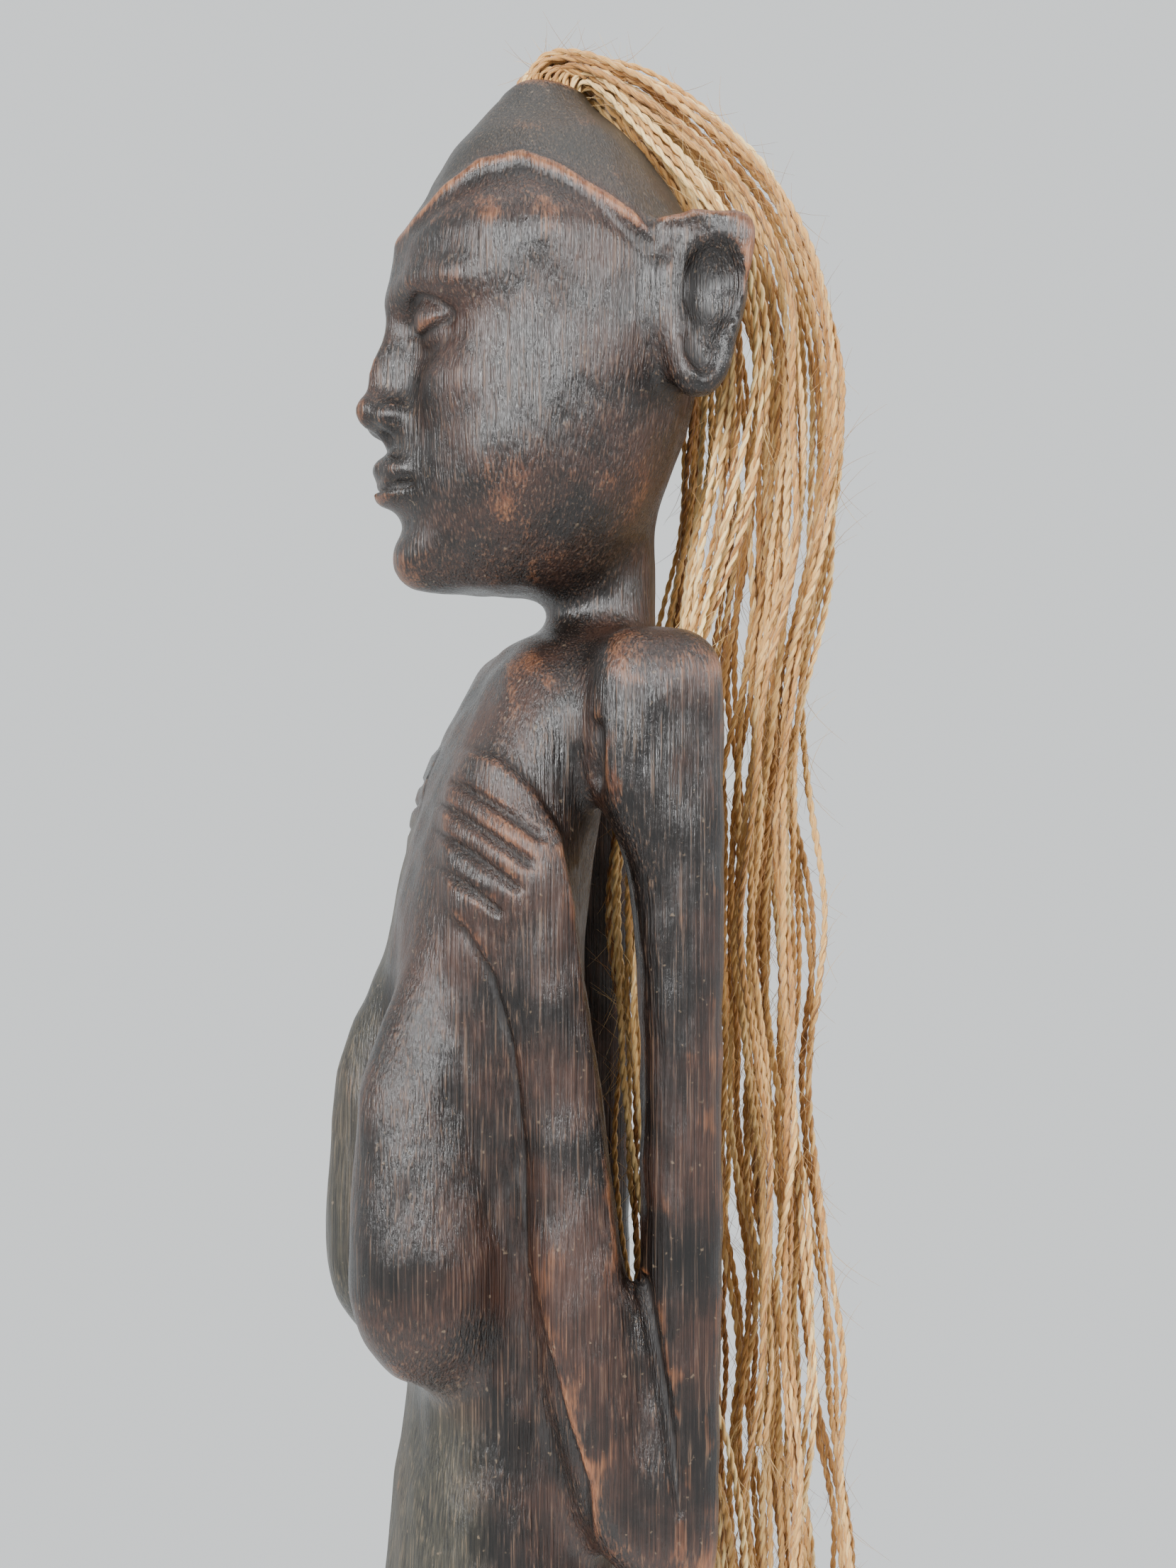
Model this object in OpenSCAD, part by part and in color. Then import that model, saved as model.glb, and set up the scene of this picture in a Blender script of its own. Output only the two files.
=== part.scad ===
// Ancestor figure carved from one log, with a head of twine pegged into its crown.
// Millimetres, +Z up, the figure faces -Y and stands on z = 0.

/* [Base] */
// Diameter of the round base that is left at the foot of the log
base_d = 156; // [130:1:200]
// Height of the base
base_h = 45; // [30:1:60]

/* [Legs] */
// Height from the top of the base to the fork of the legs
leg_h = 222; // [180:1:270]
// Distance between the middles of the two legs
stance = 56; // [50:1:66]
// Width of a thigh where it leaves the hips
thigh_w = 48; // [40:1:56]

/* [Torso] */
// Height from the fork of the legs to the top of the shoulders
torso_h = 423; // [350:1:510]
// Width of the torso at the chest
torso_w = 92; // [76:1:110]
// Depth of the torso from the breastbone to the back
torso_depth = 60; // [50:1:72]
// How far the belly stands out in front of the waist
belly_out = 13; // [8:1:24]
// Length of a breast from its top to its lowest point
breast_l = 150; // [120:1:180]
// Width of a breast at its fullest
breast_w = 46; // [38:1:52]

/* [Arms] */
// Width of the open channel between the two upper arms, behind the back
channel_w = 76; // [64:1:92]
// Width of an upper arm, seen from behind
arm_w = 28; // [22:1:34]
// Depth of an upper arm, seen from the side
arm_depth = 26; // [20:1:32]
// Gap between the back and the upper arm
arm_gap = 7; // [5:1:9]
// Length from the top of the shoulder to the tip of the elbow
arm_l = 312; // [250:1:380]
// Width of a finger
finger_w = 8.5; // [7:0.5:10]

/* [Head] */
// Height of the neck between shoulders and jaw
neck_h = 14; // [8:1:30]
// Diameter of the neck
neck_d = 36; // [30:1:44]
// Height of the head from the jaw to the lower edge of the cap
face_h = 113; // [94:1:136]
// Height of the cap
cap_h = 59; // [48:1:72]
// Width of the head between the ears
head_w = 108; // [90:1:130]
// Length of the head from the forehead to the back
head_l = 102; // [86:1:122]
// How far the forehead stands in front of the base's middle
head_front = 40; // [34:1:48]

/* [Ears] */
// Height of an ear
ear_h = 62; // [50:1:76]
// Length of an ear from front to back
ear_l = 32; // [26:1:38]
// Thickness of an ear's rim
ear_rim = 5; // [4:0.5:7]

/* [Hair] */
// Diameter of the hole in the crown
crown_hole_d = 24; // [20:1:28]
// Depth of the hole in the crown
crown_hole_depth = 38; // [30:1:48]
// Diameter of the peg that wedges the twine
peg_d = 9; // [6:0.5:12]
// Play between the twine root and the wall of the crown hole
root_play = 0.3; // [0.2:0.1:0.6]
// Diameter of a lock of twine
lock_d = 5.8; // [4.6:0.1:5.8]

/* [Hidden] */
// Heights of the log's main stations.
fork_z = base_h + leg_h;
shoulder_z = fork_z + torso_h;
jaw_z = shoulder_z + neck_h;
brim_z = jaw_z + face_h;
crown_z = brim_z + cap_h;
elbow_z = shoulder_z - arm_l;

// Places from front to back and from side to side.
back_y = 22;
chest_y = back_y - torso_depth;
arm_front_y = back_y + arm_gap;
arm_y = arm_front_y + arm_depth / 2;
arm_x = channel_w / 2 + arm_w / 2;
leg_x = stance / 2;
head_y = head_l / 2 - head_front;
head_back_y = head_l - head_front;
neck_y = 30;
torso_side = torso_w / 2;

// Facets round a section, between two sections, and round a small lobe.
SIDES = 24;
LIMB_SIDES = 14;
LOBE_FN = 12;
FINGER_FN = 8;
STEPS = 2;

// Fingers lie side by side up the chest, the thumb side highest.
FINGERS = 5;
finger_pitch = finger_w - 0.6;

// Twine routes: hand-laid points measured from the crown's height and the back of the head.
LOCK_SIDES = 8;
RING_STEP = 3 * lock_d;
hair_at = [0, head_back_y, crown_z];
root_collar = 3;

ROUTES = [
    // Inner locks: close over the cap, then down through the channel between the arms.
    [[-18, -30, -15], [-18, -26, -15], [-26, -16, -29], [-32, -4, -44], [-36, 7, -62], [-37, 12, -84],
     [-35, 12, -112], [-32, 7, -142], [-30, 0, -172], [-28, -7, -205], [-27, -16, -245], [-28, -19, -290],
     [-26, -18, -335], [-27, -15, -380], [-28, -10, -425], [-29, -2, -470], [-29, 4, -520], [-31, 8, -570]],
    [[-11, -30, -11], [-11, -26, -11], [-16, -16, -23], [-20, -5, -37], [-22, 4, -55], [-23, 8, -78],
     [-22, 9, -105], [-20, 6, -135], [-19, 2, -165], [-18, -4, -200], [-17, -13, -240], [-18, -15, -285],
     [-16, -13, -330], [-18, -11, -375], [-19, -4, -420], [-18, 3, -465], [-20, 7, -515], [-19, 9, -548]],
    [[-4, -30, -9], [-4, -26, -9], [-6, -16, -20], [-7, -5, -34], [-8, 4, -53], [-9, 9, -76],
     [-8, 10, -104], [-7, 7, -134], [-7, 1, -166], [-6, -6, -202], [-7, -17, -240], [-8, -21, -285],
     [-6, -20, -330], [-8, -17, -375], [-9, -8, -420], [-8, 0, -465], [-9, 6, -515], [-8, 10, -575]],
    [[4, -30, -9], [4, -26, -9], [6, -16, -20], [7, -5, -34], [8, 4, -53], [8, 9, -76],
     [7, 11, -104], [6, 9, -134], [5, 3, -166], [5, -3, -202], [4, -13, -242], [3, -15, -287],
     [5, -14, -332], [3, -12, -377], [2, -4, -422], [3, 3, -467], [2, 8, -517], [3, 11, -590]],
    [[11, -30, -11], [11, -26, -11], [16, -16, -23], [20, -5, -37], [22, 4, -55], [22, 8, -78],
     [21, 8, -105], [19, 5, -135], [17, 0, -166], [16, -7, -200], [15, -18, -240], [14, -22, -285],
     [16, -20, -330], [14, -18, -375], [13, -9, -420], [14, -2, -465], [12, 5, -515], [13, 8, -562]],
    [[18, -30, -15], [18, -26, -15], [26, -16, -29], [32, -4, -44], [36, 7, -62], [36, 12, -84],
     [34, 12, -112], [31, 7, -142], [29, -1, -172], [28, -9, -205], [27, -15, -245], [26, -16, -290],
     [28, -15, -335], [27, -12, -380], [25, -5, -425], [26, 1, -470], [24, 6, -520], [25, 8, -558]],

    // Middle locks: the body of the hair, hanging behind the arms.
    [[-18, -30, -8], [-18, -26, -8], [-25, -13, -19], [-31, 1, -33], [-36, 14, -51], [-38, 23, -75],
     [-37, 26, -104], [-35, 26, -135], [-33, 22, -170], [-31, 17, -205], [-30, 17, -245], [-32, 16, -290],
     [-29, 17, -335], [-31, 19, -380], [-28, 20, -425], [-31, 21, -470], [-30, 25, -520], [-32, 27, -580]],
    [[-11, -30, -4], [-11, -26, -4], [-15, -13, -14], [-19, 1, -27], [-22, 13, -45], [-24, 22, -70],
     [-24, 27, -99], [-23, 28, -131], [-21, 25, -167], [-19, 20, -204], [-19, 21, -245], [-21, 19, -290],
     [-18, 21, -335], [-20, 23, -380], [-17, 24, -425], [-19, 25, -470], [-18, 29, -520], [-21, 30, -606]],
    [[-4, -30, -2], [-4, -26, -2], [-5, -13, -11], [-6, 1, -24], [-7, 12, -42], [-8, 21, -67],
     [-8, 27, -97], [-8, 28, -130], [-7, 25, -166], [-7, 21, -204], [-8, 17, -245], [-9, 15, -290],
     [-7, 17, -335], [-9, 18, -380], [-6, 19, -425], [-8, 20, -470], [-7, 24, -520], [-9, 26, -566]],
    [[4, -30, -2], [4, -26, -2], [5, -13, -11], [6, 1, -24], [7, 12, -42], [8, 21, -67],
     [8, 28, -97], [7, 30, -130], [6, 28, -166], [5, 24, -204], [4, 24, -245], [3, 21, -290],
     [5, 23, -335], [3, 25, -380], [5, 26, -425], [3, 27, -470], [4, 31, -520], [3, 33, -596]],
    [[11, -30, -4], [11, -26, -4], [15, -13, -14], [19, 1, -27], [22, 13, -45], [23, 22, -70],
     [23, 27, -99], [22, 27, -131], [20, 23, -167], [18, 19, -204], [17, 16, -245], [16, 14, -290],
     [18, 16, -335], [16, 18, -380], [18, 18, -425], [16, 19, -470], [15, 23, -520], [16, 25, -570]],
    [[18, -30, -8], [18, -26, -8], [25, -13, -19], [31, 1, -33], [35, 14, -51], [37, 23, -75],
     [36, 25, -104], [34, 24, -135], [32, 20, -170], [30, 15, -205], [29, 14, -245], [28, 12, -290],
     [30, 14, -335], [28, 15, -380], [30, 15, -425], [28, 15, -470], [29, 14, -494]],

    // Outer locks: over the top of the others, with the widest swing away from the nape.
    [[-18, -30, -1], [-18, -26, -1], [-22, -11, -10], [-26, 4, -22], [-29, 19, -38], [-31, 31, -62],
     [-31, 38, -90], [-29, 41, -122], [-26, 38, -160], [-22, 32, -200], [-20, 33, -245], [-22, 35, -290],
     [-20, 36, -335], [-18, 37, -380], [-17, 40, -425], [-19, 44, -470], [-18, 47, -520], [-20, 47, -594]],
    [[-11, -30, 3], [-11, -26, 3], [-13, -11, -4], [-16, 5, -16], [-18, 20, -32], [-20, 33, -56],
     [-20, 41, -85], [-19, 45, -118], [-16, 42, -157], [-13, 34, -200], [-12, 37, -245], [-13, 40, -290],
     [-11, 40, -335], [-10, 44, -380], [-9, 47, -425], [-10, 50, -470], [-9, 54, -520], [-8, 58, -612]],
    [[-4, -30, 5], [-4, -26, 5], [-5, -11, -1], [-6, 5, -13], [-6, 21, -29], [-7, 35, -53],
     [-7, 44, -83], [-6, 47, -117], [-5, 43, -157], [-4, 34, -200], [-5, 30, -245], [-4, 29, -290],
     [-3, 31, -335], [-4, 33, -380], [-2, 36, -425], [-3, 38, -470], [-2, 40, -520], [-4, 39, -588]],
    [[4, -30, 5], [4, -26, 5], [5, -11, -1], [6, 5, -13], [6, 21, -29], [6, 35, -53],
     [6, 45, -83], [5, 48, -117], [4, 45, -157], [4, 38, -200], [3, 39, -245], [5, 40, -290],
     [4, 42, -335], [4, 46, -380], [5, 49, -425], [4, 51, -470], [5, 56, -520], [6, 60, -580]],
    [[11, -30, 3], [11, -26, 3], [13, -11, -4], [16, 5, -16], [18, 20, -32], [19, 33, -56],
     [19, 42, -85], [17, 46, -118], [15, 41, -157], [13, 33, -200], [12, 30, -245], [13, 28, -290],
     [11, 30, -335], [12, 32, -380], [13, 35, -425], [12, 36, -470], [11, 39, -520], [12, 41, -604]],
    [[18, -30, -1], [18, -26, -1], [22, -11, -10], [26, 4, -22], [29, 19, -38], [30, 31, -62],
     [30, 39, -90], [27, 41, -122], [24, 37, -160], [21, 29, -200], [20, 24, -245], [21, 26, -290],
     [20, 27, -335], [21, 28, -380], [22, 27, -425], [22, 29, -470], [23, 29, -520], [24, 30, -572]],
];

// A smooth curve through four rows of numbers, from b at t = 0 to c at t = 1.
function curve_at(a, b, c, d, t) =
    0.5 * (2 * b + (c - a) * t + (2 * a - 5 * b + 4 * c - d) * t * t
        + (3 * b - a - 3 * c + d) * t * t * t);

function row_at(rows, i) = rows[max(0, min(len(rows) - 1, i))];

// The rows again, with steps smooth rows from each to the next.
function smoothed(rows, steps) = concat(
    [for (i = [0 : len(rows) - 2], s = [0 : steps - 1])
        curve_at(row_at(rows, i - 1), rows[i], rows[i + 1], row_at(rows, i + 2), s / steps)],
    [rows[len(rows) - 1]]);

function signed_power(v, p) = sign(v) * pow(abs(v), p);

// One level section of a limb: row is [x, y, z, half width, half depth], and square is 2 for an ellipse.
function section(row, sides, square) =
    [for (k = [0 : sides - 1])
        let (a = 360 * k / sides)
        [row[0] + row[3] * signed_power(cos(a), 2 / square),
         row[1] + row[4] * signed_power(sin(a), 2 / square),
         row[2]]];

// Triangles of a skin over count rings of sides points, with both ends closed.
function skin_faces(count, sides) = concat(
    [for (i = [0 : count - 2], k = [0 : sides - 1])
        [i * sides + k, (i + 1) * sides + k, i * sides + (k + 1) % sides]],
    [for (i = [0 : count - 2], k = [0 : sides - 1])
        [(i + 1) * sides + k, (i + 1) * sides + (k + 1) % sides, i * sides + (k + 1) % sides]],
    [[for (k = [0 : sides - 1]) k]],
    [[for (k = [0 : sides - 1]) count * sides - 1 - k]]);

// A solid carved through level sections, listed from the bottom up.
module carved_through(rows, sides = SIDES, square = 2.3, steps = STEPS) {
    all_rows = smoothed(rows, steps);
    polyhedron(
        points = [for (row = all_rows) each section(row, sides, square)],
        faces = skin_faces(len(all_rows), sides),
        convexity = 6);
}

// A row for a section given by its height, half width and its front and back.
function row(z, half_w, front, back, x = 0) = [x, (front + back) / 2, z, half_w, (back - front) / 2];

module lobe(at, radii, fn = LOBE_FN) {
    translate(at)
        scale(radii)
            sphere(r = 1, $fn = fn);
}

module both_sides() {
    children();
    mirror([1, 0, 0])
        children();
}

module base() {
    edge = 4;
    hull() {
        cylinder(d = base_d - edge, h = base_h - edge, $fn = 40);
        translate([0, 0, edge])
            cylinder(d = base_d, h = base_h - 2 * edge, $fn = 40);
        translate([0, 0, base_h - edge])
            cylinder(d = base_d - 3 * edge, h = edge, $fn = 40);
    }
}

// One leg: thigh, bent knee, full calf and ankle.
module leg() {
    thigh = thigh_w / 2;
    carved_through([
        row(base_h - 4, 14, -8, 22, leg_x + 1),
        row(base_h + 0.10 * leg_h, 13, -8, 21, leg_x + 1),
        row(base_h + 0.24 * leg_h, 17, -11, 30, leg_x + 1),
        row(base_h + 0.38 * leg_h, 20, -14, 31, leg_x + 1),
        row(base_h + 0.52 * leg_h, 17, -24, 15, leg_x),
        row(base_h + 0.60 * leg_h, 17, -27, 13, leg_x),
        row(base_h + 0.78 * leg_h, 21, -26, 24, leg_x - 1),
        row(base_h + 0.96 * leg_h, thigh - 1, -25, 43, leg_x - 3),
        row(fork_z + 26, thigh - 3, -25, 46, leg_x - 6),
    ], sides = LIMB_SIDES);
}

module foot() {
    hull() {
        lobe([leg_x + 1, 12, base_h + 6], [13, 14, 13]);
        lobe([leg_x + 2, -34, base_h + 3], [14, 18, 9]);
    }
}

module torso() {
    carved_through([
        row(fork_z - 6, 30, -14, 34),
        row(fork_z + 22, torso_side - 2, -26, 46),
        row(fork_z + 48, torso_side + 1, -34, 47),
        row(fork_z + 80, torso_side + 1, chest_y + 10 - belly_out, 40),
        row(fork_z + 110, torso_side + 0, chest_y + 9 - belly_out, 34),
        row(fork_z + 0.34 * torso_h, torso_side - 2, chest_y + 12 - belly_out, 29),
        row(fork_z + 0.42 * torso_h, torso_side - 5, chest_y + 4, 25),
        row(fork_z + 0.52 * torso_h, torso_side - 6, chest_y + 2, back_y),
        row(fork_z + 0.64 * torso_h, torso_side - 4, chest_y - 2, back_y - 2),
        row(fork_z + 0.76 * torso_h, torso_side - 1, chest_y - 3, back_y - 2),
        row(shoulder_z - 62, torso_side, chest_y + 6, back_y),
        row(shoulder_z - 34, torso_side, chest_y + 16, back_y + 6),
        row(shoulder_z - 14, torso_side - 4, chest_y + 27, back_y + 18),
        row(shoulder_z, torso_side - 20, chest_y + 40, back_y + 18),
    ], square = 2.6);
}

module breast() {
    half = breast_w / 2;
    top_z = shoulder_z - 94;
    low_z = top_z - breast_l;
    hull() {
        lobe([half - 3, chest_y + 12, top_z - 8], [12, 12, 16], 16);
        lobe([half + 2, chest_y - 1, top_z - 60], [half - 6, 20, 30], 16);
    }
    hull() {
        lobe([half + 2, chest_y - 1, top_z - 60], [half - 6, 20, 30], 16);
        lobe([half + 4, chest_y + 3, low_z + 36], [half, 27, 36], 16);
    }
}

// Upper arm: a flat-backed post that stands clear of the back down to the elbow.
module upper_arm() {
    back = arm_front_y + arm_depth;
    half = arm_w / 2;
    carved_through([
        row(elbow_z, half - 7, arm_front_y + 4, back - 8, arm_x),
        row(elbow_z + 12, half - 2, arm_front_y - 2, back - 3, arm_x),
        row(elbow_z + 34, half, arm_front_y + 1, back - 2, arm_x),
        row(elbow_z + 60, half - 0.5, arm_front_y + 2, back - 2, arm_x),
        row(elbow_z + 0.38 * arm_l, half - 0.5, arm_front_y, back - 1, arm_x),
        row(elbow_z + 0.58 * arm_l, half, arm_front_y, back - 1, arm_x),
        row(shoulder_z - 78, half, arm_front_y - 4, back, arm_x),
        row(shoulder_z - 56, half, arm_front_y - 14, back, arm_x),
        row(shoulder_z - 30, half, arm_front_y - 17, back, arm_x),
        row(shoulder_z - 10, half, arm_front_y - 15, back - 1, arm_x),
        row(shoulder_z, half - 6, arm_front_y - 10, back - 7, arm_x - 3),
    ], sides = LIMB_SIDES, square = 4.2);
}

// The shoulder's flat top joins the neck to the arm.
module shoulder() {
    hull() {
        lobe([20, arm_y - 14, shoulder_z - 13], [16, 18, 13]);
        lobe([arm_x - 4, arm_y - 8, shoulder_z - 13], [12, 18, 12]);
    }
}

// Forearm: rises in relief on the torso's side from the elbow to the wrist.
module forearm() {
    side = torso_side - 3;
    carved_through([
        [arm_x, arm_y - 4, elbow_z + 6, 7, 9],
        [arm_x - 1, arm_y - 14, elbow_z + 22, 12, 15],
        [arm_x - 3, arm_y - 24, elbow_z + 52, 12, 15],
        [side + 6, arm_y - 32, elbow_z + 0.32 * arm_l, 11, 15.5],
        [side + 2, arm_y - 35, elbow_z + 0.46 * arm_l, 11, 14],
        [side, arm_y - 40, elbow_z + 0.60 * arm_l, 11, 13],
        [side, chest_y + 36, shoulder_z - 92, 10, 12],
        [side, chest_y + 33, shoulder_z - 74, 10, 13],
        [side - 1, chest_y + 30, shoulder_z - 60, 8, 10],
    ], sides = LIMB_SIDES);
}

// Hand: a broad palm, with the fingers laid up and forward over the chest.
module hand() {
    side = torso_side - 2;
    for (i = [0 : FINGERS - 1]) {
        drop = i * finger_pitch;
        hull() {
            lobe([side - 1, chest_y + 34 - 0.55 * drop, shoulder_z - 62 - 0.75 * drop],
                [6, finger_w / 2, finger_w / 2], FINGER_FN);
            lobe([side - 13 - 0.25 * drop, chest_y + 20 - 0.30 * drop, shoulder_z - 42 - 0.95 * drop],
                [6, finger_w / 2, finger_w / 2], FINGER_FN);
        }
    }
}

module neck() {
    half = neck_d / 2;
    carved_through([
        row(shoulder_z - 20, half + 10, neck_y - half - 10, neck_y + half),
        row(shoulder_z, half + 2, neck_y - half, neck_y + half),
        row(jaw_z + 4, half, neck_y - half, neck_y + half),
        row(jaw_z + 0.20 * face_h, half, neck_y - half, neck_y + half),
        row(jaw_z + 0.45 * face_h, half - 2, neck_y - half, neck_y + half),
    ]);
}

module head() {
    front = -head_front;
    half = head_w / 2;
    carved_through([
        row(jaw_z, 18, front + 20, neck_y - 2),
        row(jaw_z + 0.06 * face_h, 29, front + 9, neck_y + 4),
        row(jaw_z + 0.22 * face_h, half - 13, front + 5, head_back_y - 17),
        row(jaw_z + 0.45 * face_h, half - 6, front + 4, head_back_y - 6),
        row(jaw_z + 0.68 * face_h, half - 2, front + 5, head_back_y - 1),
        row(jaw_z + 0.86 * face_h, half - 1, front + 3, head_back_y - 1),
        row(brim_z - 3, half, front + 1, head_back_y),
    ]);
}

// Cap: a plain cone with a rolled lower edge, and a small flat crown round the hair.
module cap() {
    half = head_w / 2;
    carved_through([
        row(brim_z - 8, half - 1, -head_front + 2, head_back_y - 1),
        row(brim_z, half, -head_front, head_back_y),
        row(brim_z + 0.18 * cap_h, half - 6, -head_front + 6, head_back_y - 5),
        row(brim_z + 0.58 * cap_h, half - 21, -head_front + 19, head_back_y - 20),
        row(brim_z + 0.85 * cap_h, half - 37, -head_front + 33, head_back_y - 37),
        row(crown_z - 2, crown_hole_d / 2 + 3, head_y - 15, head_y + 13),
        row(crown_z, crown_hole_d / 2 + 1, head_y - 13, head_y + 12),
    ]);
}

// Ear: a tall open shell on the side of the head.
module ear() {
    at = [head_w / 2 - 1, head_back_y - ear_l / 2 + 3, brim_z + 4 - ear_h / 2];
    difference() {
        hull() {
            lobe(at + [0, 0, ear_h * 0.12], [10, ear_l / 2, ear_h * 0.38], 20);
            lobe(at - [0, 2, ear_h * 0.3], [8, ear_l / 2 - 5, ear_h * 0.2], 20);
        }
        lobe(at + [7, -1, ear_h * 0.08], [9, ear_l / 2 - ear_rim, ear_h / 2 - 2 * ear_rim], 20);
    }
}

// A calm, plain face, laid out on thirds: brow, closed eyes, straight nose, closed mouth and chin.
module face() {
    front = -head_front;
    eye_z = jaw_z + 0.74 * face_h;
    nose_z = jaw_z + 0.44 * face_h;
    mouth_z = jaw_z + 0.28 * face_h;
    both_sides() {
        hull() {
            lobe([7, front + 5, eye_z + 11], [4, 4, 3.5]);
            lobe([32, front + 14, eye_z + 9], [5, 4, 3]);
        }
        lobe([21, front + 10, eye_z], [11, 5, 6], 16);
        lobe([9, front + 4, nose_z + 3], [5, 6, 5]);
    }
    hull() {
        lobe([0, front + 6, eye_z + 6], [4.5, 5, 5]);
        lobe([0, front - 2, nose_z + 5], [6, 7, 6.5]);
    }
    lobe([0, front + 5, mouth_z + 4], [17, 5, 4], 16);
    lobe([0, front + 6, mouth_z - 4], [14, 5, 4], 16);
    lobe([0, front + 10, jaw_z + 11], [17, 9, 10], 16);
}

module crown_hole() {
    translate([0, head_y, crown_z - crown_hole_depth])
        cylinder(d = crown_hole_d, h = crown_hole_depth + 20, $fn = 32);
}

module carved_figure() {
    color([0.20, 0.13, 0.09]) difference() {
        union() {
            base();
            torso();
            neck();
            head();
            cap();
            face();
            both_sides() {
                leg();
                foot();
                breast();
                upper_arm();
                shoulder();
                forearm();
                hand();
                ear();
            }
        }
        crown_hole();
    }
}

// Peg: driven down the middle of the twine, so that it spreads against the wall of the hole.
module hair_plug() {
    color([0.45, 0.30, 0.18])
        translate([0, head_y, crown_z - crown_hole_depth])
            cylinder(d = peg_d, h = crown_hole_depth - 2);
}

// Root of the hair: the bound twine in the crown hole and the tuft it makes on the crown.
module hair_root() {
    root_d = crown_hole_d - 2 * root_play;
    color([0.66, 0.50, 0.30]) difference() {
        union() {
            translate([0, head_y, crown_z - crown_hole_depth])
                cylinder(d = root_d, h = crown_hole_depth + root_collar, $fn = 32);
            difference() {
                root_tuft();
                translate([0, 0, root_play]) cap();
            }
        }
        hair_plug();
    }
}

// The tuft runs from over the hole to the flat back face that the locks leave.
module root_tuft() {
    thick = 3;
    edge = lock_d / 2;
    hull() {
        translate([0, head_y, crown_z + 1])
            cylinder(d = crown_hole_d - 2 * root_play, h = root_collar - 1, $fn = 32);
        translate([0, head_y + 2, crown_z + root_collar])
            cylinder(d = crown_hole_d - 8, h = 4, $fn = 32);
        for (route = ROUTES)
            translate(hair_at + route[0] - [0, thick, 0])
                rotate([-90, 0, 0])
                    cylinder(r = edge, h = thick, $fn = 16);
    }
}

// The side vector of a ring, kept level so that the tube doesn't twist.
function side_of(direction) =
    let (level = cross(direction, [0.02, -1, 0.35]))
    level / norm(level);

function direction_at(points, i) =
    let (d = points[min(i + 1, len(points) - 1)] - points[max(i - 1, 0)])
    d / norm(d);

function tube_ring(points, i, radius) =
    let (
        d = direction_at(points, i),
        s = side_of(d),
        u = cross(s, d))
    [for (k = [0 : LOCK_SIDES - 1])
        points[i] + radius * (cos(360 * k / LOCK_SIDES) * s + sin(360 * k / LOCK_SIDES) * u)];

// The points of a route, with rings about RING_STEP apart.
function route_points(route) = concat(
    [for (i = [0 : len(route) - 2])
        let (steps = max(1, round(norm(route[i + 1] - route[i]) / RING_STEP)))
        for (s = [0 : steps - 1])
            curve_at(row_at(route, i - 1), route[i], route[i + 1], row_at(route, i + 2), s / steps)],
    [route[len(route) - 1]]);

module hair_lock(number) {
    points = route_points(ROUTES[number - 1]);
    color([0.72, 0.55, 0.33])
        translate(hair_at)
            polyhedron(
                points = [for (i = [0 : len(points) - 1]) each tube_ring(points, i, lock_d / 2)],
                faces = skin_faces(len(points), LOCK_SIDES),
                convexity = 8);
}

carved_figure();
hair_plug();
hair_root();
hair_lock(1);  // hair_lock_01
hair_lock(2);  // hair_lock_02
hair_lock(3);  // hair_lock_03
hair_lock(4);  // hair_lock_04
hair_lock(5);  // hair_lock_05
hair_lock(6);  // hair_lock_06
hair_lock(7);  // hair_lock_07
hair_lock(8);  // hair_lock_08
hair_lock(9);  // hair_lock_09
hair_lock(10);  // hair_lock_10
hair_lock(11);  // hair_lock_11
hair_lock(12);  // hair_lock_12
hair_lock(13);  // hair_lock_13
hair_lock(14);  // hair_lock_14
hair_lock(15);  // hair_lock_15
hair_lock(16);  // hair_lock_16
hair_lock(17);  // hair_lock_17
hair_lock(18);  // hair_lock_18
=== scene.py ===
import math

import bpy
import numpy as np
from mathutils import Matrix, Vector, kdtree
from mathutils.bvhtree import BVHTree


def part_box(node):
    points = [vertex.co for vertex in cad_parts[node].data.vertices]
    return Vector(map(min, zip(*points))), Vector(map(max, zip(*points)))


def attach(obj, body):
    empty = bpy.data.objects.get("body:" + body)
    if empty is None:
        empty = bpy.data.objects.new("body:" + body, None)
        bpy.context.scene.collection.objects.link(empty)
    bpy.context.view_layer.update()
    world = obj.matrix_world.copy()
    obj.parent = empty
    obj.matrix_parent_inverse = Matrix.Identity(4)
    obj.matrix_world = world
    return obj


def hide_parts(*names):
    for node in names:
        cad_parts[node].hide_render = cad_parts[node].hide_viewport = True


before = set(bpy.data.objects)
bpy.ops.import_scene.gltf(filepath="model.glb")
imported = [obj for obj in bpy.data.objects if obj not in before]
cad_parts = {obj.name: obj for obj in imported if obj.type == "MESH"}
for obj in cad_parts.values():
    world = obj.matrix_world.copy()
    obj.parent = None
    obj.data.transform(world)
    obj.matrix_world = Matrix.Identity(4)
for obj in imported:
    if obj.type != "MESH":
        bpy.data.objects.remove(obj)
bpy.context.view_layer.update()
bpy.ops.object.select_all(action="DESELECT")

# ---- Camera -------------------------------------------------------------------------------------------------
# It is level with the hands on the chest, on the figure's left and a little in front of pure profile. Its frame
# runs from just above the hair down to the elbows.

CAMERA_DROP = 0.236
_, figure_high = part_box("carved_figure")
crown_z = figure_high.z
eye_z = crown_z - CAMERA_DROP
eye_turn = math.radians(75)
eye_away = 0.700
aim = Vector((0.0, 0.025, eye_z))
place = aim + eye_away * Vector((math.sin(eye_turn), -math.cos(eye_turn), 0.0))
bpy.ops.object.camera_add(location=place, rotation=(math.radians(90), 0.0, eye_turn))
camera = bpy.context.object
camera.name = "camera"
camera.data.lens = 47.4
camera.data.clip_start = 0.02
bpy.context.scene.camera = camera

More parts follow.
